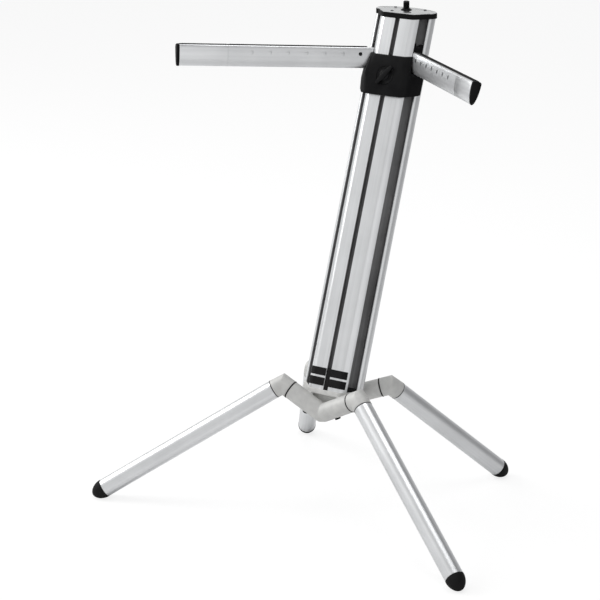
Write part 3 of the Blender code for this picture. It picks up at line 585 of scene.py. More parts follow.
def lathe(name: str, profile: Sequence[Point], place: Matrix, steps: int = 96,
          closed: bool = False) -> bpy.types.Object:
    """Solid turned about a frame's Z.

    Args:
        name: Name of the solid.
        profile: Radius and height pairs, from one pole to the other.
        place: Frame whose Z is the axis.
        steps: Facets round the axis.
        closed: Whether the last point joins the first, for a ring.

    Returns:
        The solid.
    """
    bm = bmesh.new()
    rows: list[list[bmesh.types.BMVert]] = []
    for radius, height in profile:
        if radius < 1e-7:
            rows.append([bm.verts.new((0.0, 0.0, height))])
            continue
        rows.append([bm.verts.new((radius * math.cos(math.tau * i / steps),
                                   radius * math.sin(math.tau * i / steps), height))
                     for i in range(steps)])
    pairs = list(zip(rows, rows[1:]))
    if closed:
        pairs.append((rows[-1], rows[0]))
    for low, high in pairs:
        for i in range(steps):
            j = (i + 1) % steps
            corners = [low[i % len(low)], low[j % len(low)]]
            corners += [high[j % len(high)], high[i % len(high)]]
            unique = list(dict.fromkeys(corners))
            if len(unique) > 2:
                bm.faces.new(unique)
    mesh = close_mesh(bm, name)
    mesh.transform(place)
    return new_object(name, mesh)


def block(name: str, low: Sequence[float], high: Sequence[float],
          place: Matrix | None = None) -> bpy.types.Object:
    """Box between two corners of a frame.

    Args:
        name: Name of the solid.
        low: Lowest corner.
        high: Highest corner.
        place: Frame of the corners.

    Returns:
        The solid.
    """
    loop = [(low[0], low[1]), (high[0], low[1]), (high[0], high[1]), (low[0], high[1])]
    return prism(name, [loop], low[2], high[2], place)


def rod(name: str, start: Vector, stop: Vector, radius: float,
        steps: int = 48) -> bpy.types.Object:
    """Round rod between two points of the row frame."""
    place = along(start, stop - start)
    length = (stop - start).length
    return lathe(name, [(0.0, 0.0), (radius, 0.0), (radius, length), (0.0, length)], place, steps)


def along(origin: Vector, direction: Vector) -> Matrix:
    """Frame at a point whose Z looks along a direction."""
    turn = direction.to_track_quat("Z", "Y").to_matrix().to_4x4()
    return Matrix.Translation(origin) @ turn


def frame_of(origin: Vector, x_axis: Vector, z_axis: Vector) -> Matrix:
    """Right-handed frame.

    Args:
        origin: Its origin.
        x_axis: Direction near which X lies.
        z_axis: Direction of Z.

    Returns:
        The frame as a matrix.
    """
    z = z_axis.normalized()
    x = (x_axis - z * x_axis.dot(z)).normalized()
    y = z.cross(x)
    return Matrix.Translation(origin) @ Matrix((x, y, z)).transposed().to_4x4()


def circle(radius: float, steps: int) -> Loop:
    """Points of a circle round the origin."""
    return [(radius * math.cos(math.tau * i / steps), radius * math.sin(math.tau * i / steps))
            for i in range(steps)]


def mirrored(half: Sequence[Point]) -> Loop:
    """Full closed loop from a right-hand half that runs front to rear."""
    left = [(-x, y) for x, y in reversed(half) if abs(x) > 1e-9]
    return list(half) + left


def grown(loop: Loop, offset: float) -> Loop:
    """Counter-clockwise loop moved outward.

    Args:
        loop: The outline.
        offset: Distance outward.

    Returns:
        The larger outline.
    """
    out = []
    count = len(loop)
    for i in range(count):
        before, here, after = Vector(loop[i - 1]), Vector(loop[i]), Vector(loop[(i + 1) % count])
        first = (here - before).normalized()
        second = (after - here).normalized()
        normal = Vector((first.y, -first.x))
        mid = (normal + Vector((second.y, -second.x))).normalized()
        out.append(tuple(here + mid * (offset / max(mid.dot(normal), 0.5))))
    return out


# Repeats


@dataclass
class RowOfBodies:
    """Geometry Nodes tree that repeats one body along a straight line."""

    name: str

    def tree(self) -> tuple[bpy.types.NodeTree, dict[str, str]]:
        """Build the tree.

        Returns:
            The tree and its inputs' identifiers by name.
        """
        tree = bpy.data.node_groups.new(self.name, "GeometryNodeTree")
        face = tree.interface
        face.new_socket("Body", in_out="INPUT", socket_type="NodeSocketGeometry")
        names = {}
        for label, kind in (("Count", "NodeSocketInt"), ("Start", "NodeSocketVector"),
                            ("Step", "NodeSocketVector"), ("Finish", "NodeSocketMaterial")):
            names[label] = face.new_socket(label, in_out="INPUT", socket_type=kind).identifier
        face.new_socket("Bodies", in_out="OUTPUT", socket_type="NodeSocketGeometry")
        nodes, links = tree.nodes, tree.links
        given = nodes.new("NodeGroupInput")
        line = nodes.new("GeometryNodeMeshLine")
        line.mode = "OFFSET"
        copies = nodes.new("GeometryNodeInstanceOnPoints")
        real = nodes.new("GeometryNodeRealizeInstances")
        paint = nodes.new("GeometryNodeSetMaterial")
        result = nodes.new("NodeGroupOutput")
        links.new(given.outputs["Count"], line.inputs["Count"])
        links.new(given.outputs["Start"], line.inputs["Start Location"])
        links.new(given.outputs["Step"], line.inputs["Offset"])
        links.new(line.outputs["Mesh"], copies.inputs["Points"])
        links.new(given.outputs["Body"], copies.inputs["Instance"])
        links.new(copies.outputs["Instances"], real.inputs["Geometry"])
        links.new(real.outputs["Geometry"], paint.inputs["Geometry"])
        links.new(given.outputs["Finish"], paint.inputs["Material"])
        links.new(paint.outputs["Geometry"], result.inputs["Bodies"])
        return tree, names

    def repeat(self, body: bpy.types.Object, count: int, start: Vector, step: Vector,
               finish: bpy.types.Material) -> bpy.types.Object:
        """Repeat a body and bake the result.

        Args:
            body: Body modelled round the origin.
            count: How many.
            start: Place of the first.
            step: From each to the next.
            finish: Their material.

        Returns:
            One plain object that holds all of them.
        """
        tree, names = self.tree()
        modifier = body.modifiers.new("row", "NODES")
        modifier.node_group = tree
        modifier[names["Count"]] = count
        modifier[names["Start"]] = tuple(start)
        modifier[names["Step"]] = tuple(step)
        modifier[names["Finish"]] = finish
        baked(body)
        bpy.data.node_groups.remove(tree)
        return shaded(body, finish)


# The stand's axes


@dataclass
class StandAxes:
    """Axes of the stand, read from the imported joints."""

    joints: dict[str, dict]
    lean: float = math.radians(21.3)
    foot: Point = (-0.0381, 0.2480)
    front_corner_y: float = -0.0840
    rear_fold: float = math.radians(133.0)
    front_fold: float = math.radians(180.0)
    droop: float = math.radians(11.57)

    def at(self, joint: str) -> Vector:
        """Point on a joint's axis."""
        return Vector(self.joints[joint]["pos_m"])

    def axis(self, joint: str) -> Vector:
        """Direction of a joint's axis."""
        return Vector(self.joints[joint]["axis"]).normalized()

    @property
    def shift(self) -> float:
        """How far the assembly was moved to centre its footprint."""
        return self.at("leg_front_right_swivel").y - self.front_corner_y

    @property
    def column(self) -> Matrix:
        """Frame of the column: X across, Y rearward, Z up the column."""
        origin = Vector((0.0, self.foot[0] + self.shift, self.foot[1]))
        return Matrix.Translation(origin) @ Matrix.Rotation(-self.lean, 4, "X")

    def column_y(self, z: float) -> float:
        """Y of the section's centre at a height."""
        return self.foot[0] + self.shift + (z - self.foot[1]) * math.tan(self.lean)

    def up_column(self, z: float, n: float) -> float:
        """Distance up the column at which a level plane is met.

        Args:
            z: Height of the plane.
            n: Depth in the section.

        Returns:
            The distance in metres.
        """
        return (z - self.foot[1] + n * math.sin(self.lean)) / math.cos(self.lean)

    def swivel(self, corner: Corner, side: Side) -> tuple[Vector, Vector, Vector]:
        """Corner point, outward swivel direction and leg direction of a leg.

        Args:
            corner: Front or rear leg.
            side: Its side.

        Returns:
            The point and the two directions.
        """
        joint = f"leg_{corner.value}_{side.label}_swivel"
        u = self.axis(joint)
        if u.x * side.value < 0:
            u = -u
        right = u * side.flip
        fold = self.front_fold if corner is Corner.FRONT else self.rear_fold
        up = self.column.to_3x3().col[2]
        leg = Matrix.Rotation(-fold, 3, right) @ up
        return self.at(joint), u, (leg * side.flip).normalized()

    def groove(self, side: Side) -> Matrix:
        """Frame at an arm's pivot: X out of the groove, Z up the column."""
        up = self.column.to_3x3().col[2]
        out = self.axis(f"arm_{side.label}_extend")
        return frame_of(self.at(f"arm_{side.label}_fold"), out, up)

    def arm(self, side: Side) -> Matrix:
        """Frame at an arm's pivot: X along the arm, Z square to its top."""
        return self.groove(side) @ Matrix.Rotation(self.droop, 4, "Y")


@dataclass
class Workshop:
    """What every sub-assembly needs while it is built."""

    axes: StandAxes
    nodes: dict[str, bpy.types.Object]

    def fit(self, piece: bpy.types.Object, body: str, slot: str, *stands_for: str) -> None:
        """Ride a finished piece on its body.

        Args:
            piece: The piece.
            body: Its CAD body.
            slot: Slot of the record; not used.
            stands_for: CAD nodes that it replaces.
        """
        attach(piece, body)
        if stands_for:
            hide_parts(*stands_for)
        LOG.info("%s on %s: %d faces", piece.name, body, len(piece.data.polygons))

    def dress(self, piece: bpy.types.Object, finish: bpy.types.Material, body: str, slot: str,
              *stands_for: str, angle: float = SMOOTH_ANGLE) -> None:
        """Give a piece its finish and ride it on its body.

        Args:
            piece: The piece.
            finish: Its material.
            body: Its CAD body.
            slot: Slot of the record, passed on to fit.
            stands_for: CAD nodes that it replaces.
            angle: Edges sharper than this stay crisp, in degrees.
        """
        shaded(piece, finish, angle)
        self.fit(piece, body, slot, *stands_for)

    def paint(self, node: str, material: bpy.types.Material) -> None:
        """Give a carried-over CAD node its finish."""
        mesh = self.nodes[node].data
        mesh.materials.clear()
        mesh.materials.append(material)

    def refined(self, node: str, name: str, width: float, segments: int = 2) -> bpy.types.Object:
        """Copy of a CAD node with whole faces and eased edges.

        Args:
            node: The CAD node.
            name: Name of the new piece.
            width: Width of its rounded edges.
            segments: Steps across them.

        Returns:
            The new piece.
        """
        bm = bmesh.new()
        bm.from_mesh(self.nodes[node].data)
        bmesh.ops.remove_doubles(bm, verts=bm.verts, dist=0.00001)
        bmesh.ops.dissolve_limit(bm, angle_limit=math.radians(0.8), verts=bm.verts, edges=bm.edges)
        copy = new_object(name, close_mesh(bm, name, 0.00001))
        return eased(copy, width, segments)


# Column


@dataclass
class Column:
    """Slotted extrusion with its cap, stud and black trim."""

    shop: Workshop
    half_width: float = 0.070
    front_n: float = -0.031
    flat_half: float = 0.031
    face_edge: Point = (0.0468, -0.0214)
    mouth_chord: float = 0.0199
    slot_half: float = 0.0053
    slot_lip: float = 0.004
    slot_cavity_half: float = 0.011
    slot_depth: float = 0.013
    groove_lip: float = 0.0035
    groove_undercut: float = 0.003
    groove_depth: float = 0.022
    corner_n: float = 0.004
    rear_radius_n: float = 0.027
    hollow: tuple[float, float, float] = (0.0262, -0.015, 0.0255)
    rear_port: tuple[float, float, float] = (0.036, 0.017, 0.003)
    front_port: tuple[float, float, float] = (0.0215, -0.0195, 0.00225)
    rear_screw: Point = (0.036, 0.021)
    front_screw: Point = (0.0215, -0.021)
    top_z: float = 1.013
    cap_centre_z: float = 1.017
    cap_top_z: float = 1.025
    plate_thick: float = 0.0015
    cap_overhang: float = 0.002
    stud_back: float = 0.003
    stud_r: float = 0.00675
    stud_height: float = 0.0195
    flange_r: float = 0.012
    flange_thick: float = 0.003

    def mouth_outer(self) -> Point:
        """Outer edge of a groove's mouth."""
        side = self.mouth_chord * math.sqrt(0.5)
        return (self.face_edge[0] + side, self.face_edge[1] + side)

    def flank(self) -> Loop:
        """Rounded corner and back, from a groove's mouth to the middle of the back."""
        x0, n0 = self.mouth_outer()
        reach, drop = self.half_width - x0, self.corner_n - n0
        corner = [(x0 + reach * math.cos(a), self.corner_n + drop * math.sin(a))
                  for a in (math.radians(-90 + 7.5 * i) for i in range(1, 13))]
        back = []
        for i in range(1, 31):
            a = math.radians(3.0 * i)
            back.append((max(self.half_width * math.cos(a), 0.0),
                         self.corner_n + self.rear_radius_n * math.sin(a)))
        return corner + back

    def shoulder(self, steps: int = 16, reach: float = 1.0) -> Loop:
        """Rounded edge of the front face, from its flat towards a groove's mouth.

        Args:
            steps: Pieces of the curve.
            reach: Share of the curve that is followed.

        Returns:
            Points of the curve.
        """
        start, end = Vector((self.flat_half, self.front_n)), Vector(self.face_edge)
        knee = Vector((self.face_edge[0] - (self.face_edge[1] - self.front_n), self.front_n))
        out = []
        for i in range(steps + 1):
            t = reach * i / steps
            out.append(tuple(start * (1 - t) ** 2 + knee * 2 * t * (1 - t) + end * t * t))
        return out

    def hull(self) -> Loop:
        """Outline with the slot and the grooves closed."""
        return mirrored(self.shoulder() + [self.mouth_outer()] + self.flank())

    def section(self) -> Loop:
        """Outline with its slot and its grooves."""
        g = Vector((math.sqrt(0.5), -math.sqrt(0.5)))
        t = Vector((math.sqrt(0.5), math.sqrt(0.5)))
        flank = self.flank()
        inner, outer = Vector(self.face_edge), Vector(flank[0])
        lip, deep, under = self.groove_lip, self.groove_depth, self.groove_undercut
        slot = [(self.slot_cavity_half, self.front_n + self.slot_depth),
                (self.slot_cavity_half, self.front_n + self.slot_lip),
                (self.slot_half, self.front_n + self.slot_lip),
                (self.slot_half, self.front_n + 0.0005),
                (self.slot_half + 0.0005, self.front_n)]
        groove = [inner + t * 0.0003 - g * 0.0003, inner + t * 0.0003 - g * lip,
                  inner - g * lip - t * under, inner - g * deep - t * under,
                  outer - g * deep + t * under, outer - g * lip + t * under, outer - g * lip,
                  outer - g * 0.0006]
        return mirrored(slot + self.shoulder() + [tuple(p) for p in groove] + flank[1:])

    def build_profile(self) -> None:
        """Extrusion, level at its top, with shade painted as a darker second material inside its
        grooves.
        """
        axes = self.shop.axes
        x, low, high = self.hollow
        loops = [self.section(), [(-x, low), (x, low), (x, high), (-x, high)]]
        for side in Side:
            for across, deep, radius in (self.rear_port, self.front_port):
                loops.append([(side.value * across + a, deep + b) for a, b in circle(radius, 16)])
        column = prism("column_extrusion", loops, 0.0, 1.0)
        for vert in column.data.vertices:
            if vert.co.z > 0.5:
                vert.co.z = axes.up_column(self.top_z, vert.co.y)
        column.data.transform(axes.column)
        finish = DrawnAluminium(line_pitch=1100.0)
        shaded(column, finish.build("column_anodised", axes.column), 25.0)
        # The second material is painted shade for the faces inside the slot and the grooves.
        column.data.materials.append(self.groove_finish().build("groove_shadow", axes.column))
        self.darken_grooves(column)
        self.shop.fit(column, "stand", "satin_aluminium", "column_profile")

    def groove_finish(self) -> DrawnAluminium:
        """Painted shade: dull dark-grey aluminium for the faces inside the slot and the grooves.
        """
        return DrawnAluminium((0.27, 0.27, 0.275), (0.15, 0.15, 0.153), (0.45, 0.60), 0.35)

    def darken_grooves(self, column: bpy.types.Object) -> None:
        """Put the painted shade, the second material, on the faces that lie inside the slot and
        the grooves.
        """
        place = self.shop.axes.column.inverted()
        hull = [Vector(p) for p in self.hull()]
        for face in column.data.polygons:
            centre = place @ face.center
            point = Vector((centre.x, centre.y))
            normal = place.to_3x3() @ face.normal
            if abs(normal.z) < 0.5 and self.depth_inside(point, hull) > 0.0012:
                face.material_index = 1

    @staticmethod
    def depth_inside(point: Vector, hull: Sequence[Vector]) -> float:
        """Least distance from a point to an outline."""
        least = 1.0
        for a, b in zip(hull, hull[1:] + hull[:1]):
            edge = b - a
            if edge.length < 1e-9:
                continue
            t = min(max((point - a).dot(edge) / edge.length_squared, 0.0), 1.0)
            least = min(least, (a + edge * t - point).length)
        return least

    def cap_loop(self, offset: float) -> Loop:
        """Outline of the column in a level plane, moved outward."""
        flat = [(x, n / math.cos(self.shop.axes.lean)) for x, n in self.hull()]
        return grown(flat, offset)

    def build_cap(self) -> None:
        """Black rim, bright plate with four countersunk screws, and the stud with its flange."""
        axes = self.shop.axes
        place = Matrix.Translation((0.0, axes.column_y(self.cap_centre_z), 0.0))
        stud = place @ Matrix.Translation((0.0, self.stud_back, 0.0))
        low, high = self.top_z + GAP, self.cap_top_z - self.plate_thick - GAP
        rim = prism("cap_rim_moulding", [self.cap_loop(self.cap_overhang)], low, high, place)
        eased(rim, 0.0009, 3, 50.0)
        hole = Vector(stud.to_translation())
        bore = (hole + Vector((0, 0, low + 0.002)), hole + Vector((0, 0, self.cap_top_z + 0.01)))
        combined(rim, rod("bore", *bore, self.stud_r + GAP, 48))
        self.shop.dress(rim, BlackPolymer().build("cap_polymer", place),
                        "stand", "black_plastic", "cap_rim")
        plate = prism("cap_plate", [self.cap_loop(0.0005)], high + GAP, self.cap_top_z, place)
        eased(plate, 0.0003, 2, 50.0)
        combined(plate, rod("bore", *bore, self.stud_r + GAP, 48))
        bright = TurnedSteel((0.78, 0.79, 0.80), (0.70, 0.71, 0.72), (0.20, 0.30))
        self.shop.dress(plate, bright.build("plate_brushed", place),
                        "stand", "bright_plate", "top_plate")
        self.build_screws(place)
        self.build_stud(stud, low + 0.002 + GAP)

    def build_screws(self, place: Matrix) -> None:
        """Two rows of two screws that hold the cap to the extrusion's ports."""
        steel = TurnedSteel((0.10, 0.10, 0.105), (0.07, 0.07, 0.075)).build("screw_blacked", place)
        top = self.cap_top_z + 0.0001
        profile = [(0.0, 0.0004), (0.0012, 0.0004), (0.0014, 0.0009), (0.0026, 0.0010),
                   (0.0034, 0.0004), (0.0034, 0.0), (0.0, 0.0)]
        for row, (x, y) in enumerate((self.rear_screw, self.front_screw)):
            head = lathe("screw", profile, Matrix.Identity(4), 32)
            start = place @ Vector((-x, y, top))
            pair = RowOfBodies("screw_row").repeat(head, 2, start, Vector((2 * x, 0, 0)), steel)
            pair.name = ("cap_screws_rear", "cap_screws_front")[row]
            self.shop.fit(pair, "stand", "steel")

    def build_stud(self, place: Matrix, base: float) -> None:
        """Blackened stud with thread ridges and a flange nut."""
        top = self.cap_top_z + self.stud_height
        core = self.stud_r - 0.0007
        shank_low, shank_high = self.cap_top_z + self.flange_thick + 0.0008, top - 0.0012
        profile = [(0.0, top), (core - 0.0009, top), (core, top - 0.0010)]
        pitch = 0.00125
        count = int((shank_high - shank_low) / pitch)
        for i in range(count):
            crest = shank_high - i * pitch
            profile += [(core, crest), (self.stud_r, crest - 0.45 * pitch),
                        (self.stud_r, crest - 0.55 * pitch)]
        profile += [(core, shank_low), (self.stud_r, shank_low - 0.0004),
                    (self.stud_r, base), (0.0, base)]
        stud = lathe("cap_stud", profile, place, 64)
        black = TurnedSteel((0.030, 0.030, 0.031), (0.018, 0.018, 0.019), (0.30, 0.42))
        self.shop.dress(stud, black.build("stud_blacked", place),
                        "stand", "black_steel", "top_stud", angle=30.0)
        low = self.cap_top_z + GAP
        inner = self.stud_r + GAP
        high, rim = low + self.flange_thick, self.flange_r
        profile = [(inner, high), (0.0088, high), (0.0093, high - 0.0006), (0.0094, low + 0.0012),
                   (rim - 0.0005, low + 0.0010), (rim, low + 0.0006), (rim, low), (inner, low)]
        nut = lathe("flange_nut", profile, place, 64, True)
        dark = TurnedSteel((0.020, 0.020, 0.021), (0.012, 0.012, 0.013), (0.34, 0.46))
        self.shop.dress(nut, dark.build("nut_blacked", place),
                        "stand", "black_steel", "stud_flange_nut", angle=30.0)

    def build_trim(self) -> None:
        """Rubber pads and plugs at the column's foot."""
        rubber = Rubber().build("trim_rubber", self.shop.axes.column)
        names = ["slot_plug"]
        for side in Side:
            names += [part + side.label for part in ("band_lower_", "band_upper_", "groove_plug_")]
        for name in names:
            dressed = name.replace("band", "pad").replace("plug", "filler")
            piece = self.shop.refined(name, dressed, 0.0003)
            self.shop.fit(levelled(shaded(piece, rubber)), "stand", "black_rubber", name)

    def build(self) -> None:
        """Build the whole sub-assembly."""
        self.build_profile()
        self.build_cap()
        self.build_trim()


# Base casting


@dataclass
class BaseCasting:
    """One casting with four sockets, a web and the column's seat."""

    shop: Workshop
    column: Column
    socket_r: float = 0.020
    seat_top_z: float = 0.2640
    seat_floor: float = 0.006
    seat_wall: float = 0.0018
    web_half: float = 0.044
    web_z: Point = (0.210, 0.2570)
    web_y: Point = (-0.060, -0.004)
    flat_z: float = 0.2000
    setback: float = 0.0222
    bolt_r: float = 0.005
    bolt_reach: float = 0.014
    plug_x: float = 0.030
    plug_r: float = 0.0062
    voxel: float = 0.0011

    def bar(self, corner: Corner, side: Side) -> bpy.types.Object:
        """Round bar from the middle to a socket's end face.

        Args:
            corner: Front or rear.
            side: Its side.

        Returns:
            The bar.
        """
        point, u, _ = self.shop.axes.swivel(corner, Side.RIGHT)
        place = frame_of(point - u * self.setback, Vector((0, 1, 0)), u)
        rings = []
        for back, radius in ((0.0, self.socket_r - 0.0006), (0.0006, self.socket_r)):
            rings.append([place @ Vector((x, y, -back)) for x, y in circle(radius, 96)])
        middle = []
        for x, y in circle(self.socket_r, 96):
            p = place @ Vector((x, y, 0.0))
            middle.append(p - u * ((p.x + 0.0004) / u.x))
        rings.append(middle)
        return loft("bar", [[p * side.flip for p in ring] for ring in rings])

    def web(self) -> bpy.types.Object:
        """Triangular web between the bars."""
        shift = self.shop.axes.shift
        low, high = self.web_z
        corners = [(self.web_half, high), (-self.web_half, high), (0.0, low)]
        return loft("web", [[Vector((x, y + shift, z)) for x, z in corners] for y in self.web_y])

    def seat(self) -> bpy.types.Object:
        """Level-topped block round the column's foot."""
        axes = self.shop.axes
        outline = grown(self.column.hull(), self.seat_wall)
        made = prism("seat", [outline], -self.seat_floor, 0.06, axes.column)
        level = block("level", (-0.2, -0.3, self.seat_top_z), (0.2, 0.3, 0.5))
        return combined(made, level)

    def build(self) -> None:
        """Join the forms, soften them like a casting and machine the fits."""
        axes = self.shop.axes
        body = self.bar(Corner.FRONT, Side.RIGHT)
        for tool in (self.bar(Corner.FRONT, Side.LEFT), self.bar(Corner.REAR, Side.RIGHT),
                     self.bar(Corner.REAR, Side.LEFT), self.web(), self.seat()):
            combined(body, tool, Operation.JOIN)
        combined(body, block("flat", (-0.2, -0.3, 0.0), (0.2, 0.3, self.flat_z)))
        body.name = "base_cast_body"
        self.soften(body)
        pocket = prism("pocket", [grown(self.column.hull(), GAP)], -GAP, 0.10, axes.column)
        combined(body, pocket)
        self.machine(body)
        self.shop.dress(body, CastPaint().build("casting_coat", axes.column),
                        "stand", "grey_casting", "base_casting", angle=50.0)
        self.build_underside()

    def soften(self, body: bpy.types.Object) -> None:
        """Fillet every inner corner with a remesh and a few smoothing passes."""
        grid = body.modifiers.new("grid", "REMESH")
        grid.mode = "VOXEL"
        grid.voxel_size = self.voxel
        calm = body.modifiers.new("calm", "SMOOTH")
        calm.factor = 0.5
        calm.iterations = 3
        baked(body)

    def machine(self, body: bpy.types.Object) -> None:
        """Bores for the swivel bolts and the column bolts."""
        axes = self.shop.axes
        for corner in Corner:
            for side in Side:
                point, u, _ = axes.swivel(corner, side)
                end = point - u * self.setback
                face = rod("face", end + u * 0.0001, end + u * 0.02, self.socket_r + 0.0012, 64)
                combined(body, face)
                bore = rod("bore", end + u * 0.01, end - u * (self.bolt_reach + 0.001),
                           self.bolt_r + BORE_EASE, 32)
                combined(body, bore)
        for side in Side:
            across, deep, radius = self.column.rear_port
            start = axes.column @ Vector((side.value * across, deep, -0.06))
            stop = axes.column @ Vector((side.value * across, deep, 0.01))
            combined(body, rod("bore", start, stop, radius + 0.0001, 24))

    def build_underside(self) -> None:
        """Two dark plugs in the lower side of the front bar."""
        r, deep = self.plug_r, 0.0072
        profile = [(0.0, 0.0), (r, 0.0), (r, deep - 0.0008), (r - 0.0006, deep), (0.0, deep)]
        for side in Side:
            point, u, _ = self.shop.axes.swivel(Corner.FRONT, side)
            under = point - u * ((point.x - side.value * self.plug_x) / u.x)
            down = Vector((0.0, 0.0, -1.0))
            down = (down - u * down.dot(u)).normalized()
            place = along(under + down * (self.socket_r - 0.004), down)
            plug = lathe("underside_plug_" + side.label, profile, place, 40)
            polymer = BlackPolymer().build("underside_polymer_" + side.label, place)
            self.shop.fit(shaded(plug, polymer), "stand", "black_plastic")

    def build_fixings(self) -> None:
        """Finishes of the bolts that stay CAD nodes."""
        for corner in Corner:
            for side in Side:
                label = f"{corner.value}_{side.label}"
                point, u, _ = self.shop.axes.swivel(corner, side)
                steel = TurnedSteel().build("bolt_plated_" + label, along(point, u))
                self.shop.paint("swivel_bolt_" + label, steel)
        steel = TurnedSteel().build("base_bolt_plated", self.shop.axes.column)
        for side in Side:
            self.shop.paint("base_bolt_" + side.label, steel)


# Legs


@dataclass
class Leg:
    """Washer on the base, and the mitred elbow, tube and foot that swivel."""

    shop: Workshop
    corner: Corner
    side: Side
    tube_r: float = 0.020
    tube_wall: float = 0.0021
    elbow_r: float = 0.0203
    elbow_in: float = 0.0200
    elbow_out: float = 0.0215
    elbow_peak: float = 0.82
    washer_r: float = 0.0207
    washer_thick: float = 0.0016
    bolt_r: float = 0.005
    bolt_reach: float = 0.014
    spigot: float = 0.030
    ring_thick: float = 0.0009
    foot_r: float = 0.0204
    foot_length: float = 0.029
    foot_plug: float = 0.016
    foot_power: float = 1.85
    flat_depth: float = 0.0008
    steps: int = 96

    @property
    def label(self) -> str:
        """Name of the leg in nodes and bodies."""
        return f"{self.corner.value}_{self.side.label}"

    def foot_profile(self, count: int) -> Loop:
        """Foot outline as distance past the tube and radius."""
        points = []
        for i in range(count + 1):
            a = math.radians(90 * i / count)
            points.append((self.foot_length * math.sin(a) ** (2 / self.foot_power),
                           self.foot_r * max(math.cos(a), 0.0) ** (2 / self.foot_power)))
        return points

    def tube_end(self, point: Vector, direction: Vector) -> float:
        """Distance from the corner to the tube's end, so that the foot meets the floor."""
        down = -direction.z
        across = math.sqrt(1 - down * down)
        support = max(h * down + r * across for h, r in self.foot_profile(6))
        return (point.z - support + self.flat_depth) / down

    def build_washer(self, swivel: Matrix) -> None:
        """Thin black friction washer with eased rims."""
        top = -self.elbow_in - GAP
        low = top - self.washer_thick
        bore = self.bolt_r + GAP
        edge, rim = 0.0003, self.washer_r
        third = edge / 3
        profile = [(bore, top), (rim - edge, top), (rim - third, top - third), (rim, top - edge),
                   (rim, low + edge), (rim - third, low + third), (rim - edge, low), (bore, low)]
        ring = lathe("friction_washer_" + self.label, profile, swivel, self.steps, True)
        dull = BlackPolymer(roughness=(0.42, 0.55))
        self.shop.dress(ring, dull.build("washer_" + self.label, swivel),
                        "stand", "black_rubber", "washer_" + self.label)

    def build_elbow(self, swivel: Matrix, bend: float) -> None:
        """Mitred casting with eased edges, a machined end ring and a spigot in the tube."""
        slope = math.tan(bend / 2)
        out = Vector((math.sin(bend), 0.0, math.cos(bend)))
        across = Vector((math.cos(bend), 0.0, -math.sin(bend)))
        sideways = Vector((0.0, 1.0, 0.0))
        ring = circle(self.elbow_r, self.steps)

        def leg_ring(distance: float, radius: float) -> Ring:
            """Ring square to the leg."""
            return [swivel @ (out * distance + across * x + sideways * y)
                    for x, y in circle(radius, self.steps)]

        def socket_ring(height: float, radius: float) -> Ring:
            """Ring square to the swivel axis."""
            return [swivel @ Vector((x, y, height)) for x, y in circle(radius, self.steps)]

        mitre = [swivel @ Vector((x, y, -x * slope * (self.elbow_peak if x < 0 else 1.0)))
                 for x, y in ring]
        spigot_r = self.tube_r - self.tube_wall - GAP
        rings = [socket_ring(-self.elbow_in, self.elbow_r - 0.0006),
                 socket_ring(-self.elbow_in + 0.0006, self.elbow_r), mitre,
                 leg_ring(self.elbow_out - 0.0006, self.elbow_r),
                 leg_ring(self.elbow_out, self.elbow_r - 0.0006),
                 leg_ring(self.elbow_out, spigot_r),
                 leg_ring(self.elbow_out + self.spigot, spigot_r)]
        elbow = eased(loft("elbow_casting_" + self.label, rings), 0.0009, 3, 24.0)
        start = swivel @ Vector((0, 0, -self.elbow_in - 0.01))
        stop = swivel @ Vector((0, 0, -self.elbow_in + self.bolt_reach + 0.001))
        combined(elbow, rod("bore", start, stop, self.bolt_r + BORE_EASE, 32))
        self.shop.dress(elbow, CastPaint().build("elbow_coat_" + self.label, swivel),
                        "leg_" + self.label, "grey_casting", "elbow_" + self.label, angle=42.0)

    def build_tube(self, axis: Matrix, length: float) -> None:
        """Drawn tube with deburred ends."""
        low = self.elbow_out + 2 * GAP + self.ring_thick
        inner = self.tube_r - self.tube_wall
        ease = 0.0004
        profile = [(inner, length), (self.tube_r - ease, length), (self.tube_r, length - ease),
                   (self.tube_r, low + ease), (self.tube_r - ease, low), (inner, low)]
        tube = lathe("drawn_tube_" + self.label, profile, axis, self.steps, True)
        finish = DrawnAluminium(line_pitch=1300.0)
        self.shop.dress(tube, finish.build("tube_anodised_" + self.label, axis),
                        "leg_" + self.label, "satin_aluminium", "leg_tube_" + self.label)

    def build_ring(self, axis: Matrix) -> None:
        """Thin dark ring between the elbow and the tube, painted shade that stands in for the
        shadow in the joint's gap.
        """
        low = self.elbow_out + GAP
        high = low + self.ring_thick
        inner = self.tube_r - self.tube_wall
        profile = [(inner, low), (self.elbow_r, low), (self.elbow_r, high), (inner, high)]
        # A black ring where only the joint's shadow falls: painted shade.
        ring = lathe("joint_seal_" + self.label, profile, axis, self.steps, True)
        self.shop.dress(ring, BlackPolymer().build("seal_" + self.label, axis),
                        "leg_" + self.label, "black_plastic")

    def build_foot(self, axis: Matrix, length: float) -> None:
        """Domed rubber foot with a lip, worn flat where it stands."""
        base = length + GAP
        dome = [(r, base + 0.0012 + h) for h, r in reversed(self.foot_profile(28))]
        dome[0] = (0.0, dome[0][1])
        plug = self.tube_r - self.tube_wall - GAP
        profile = dome + [(self.foot_r, base + 0.0003), (self.foot_r - 0.0003, base), (plug, base),
                          (plug, length - self.foot_plug), (0.0, length - self.foot_plug)]
        foot = lathe("rubber_foot_" + self.label, profile, axis, self.steps)
        combined(foot, block("floor_cut", (-1.0, -1.0, -0.2), (1.0, 1.0, 0.0)))
        self.shop.dress(foot, Rubber().build("foot_rubber_" + self.label, axis),
                        "leg_" + self.label, "black_rubber", "foot_" + self.label)

    def build(self) -> None:
        """Build the whole leg."""
        point, u, direction = self.shop.axes.swivel(self.corner, self.side)
        swivel = frame_of(point, direction, u)
        bend = u.angle(direction)
        axis = swivel @ Matrix.Rotation(bend, 4, "Y")
        length = self.tube_end(point, direction)
        self.build_washer(swivel)
        self.build_elbow(swivel, bend)
        self.build_ring(axis)
        self.build_tube(axis, length)
        self.build_foot(axis, length)


# Collar


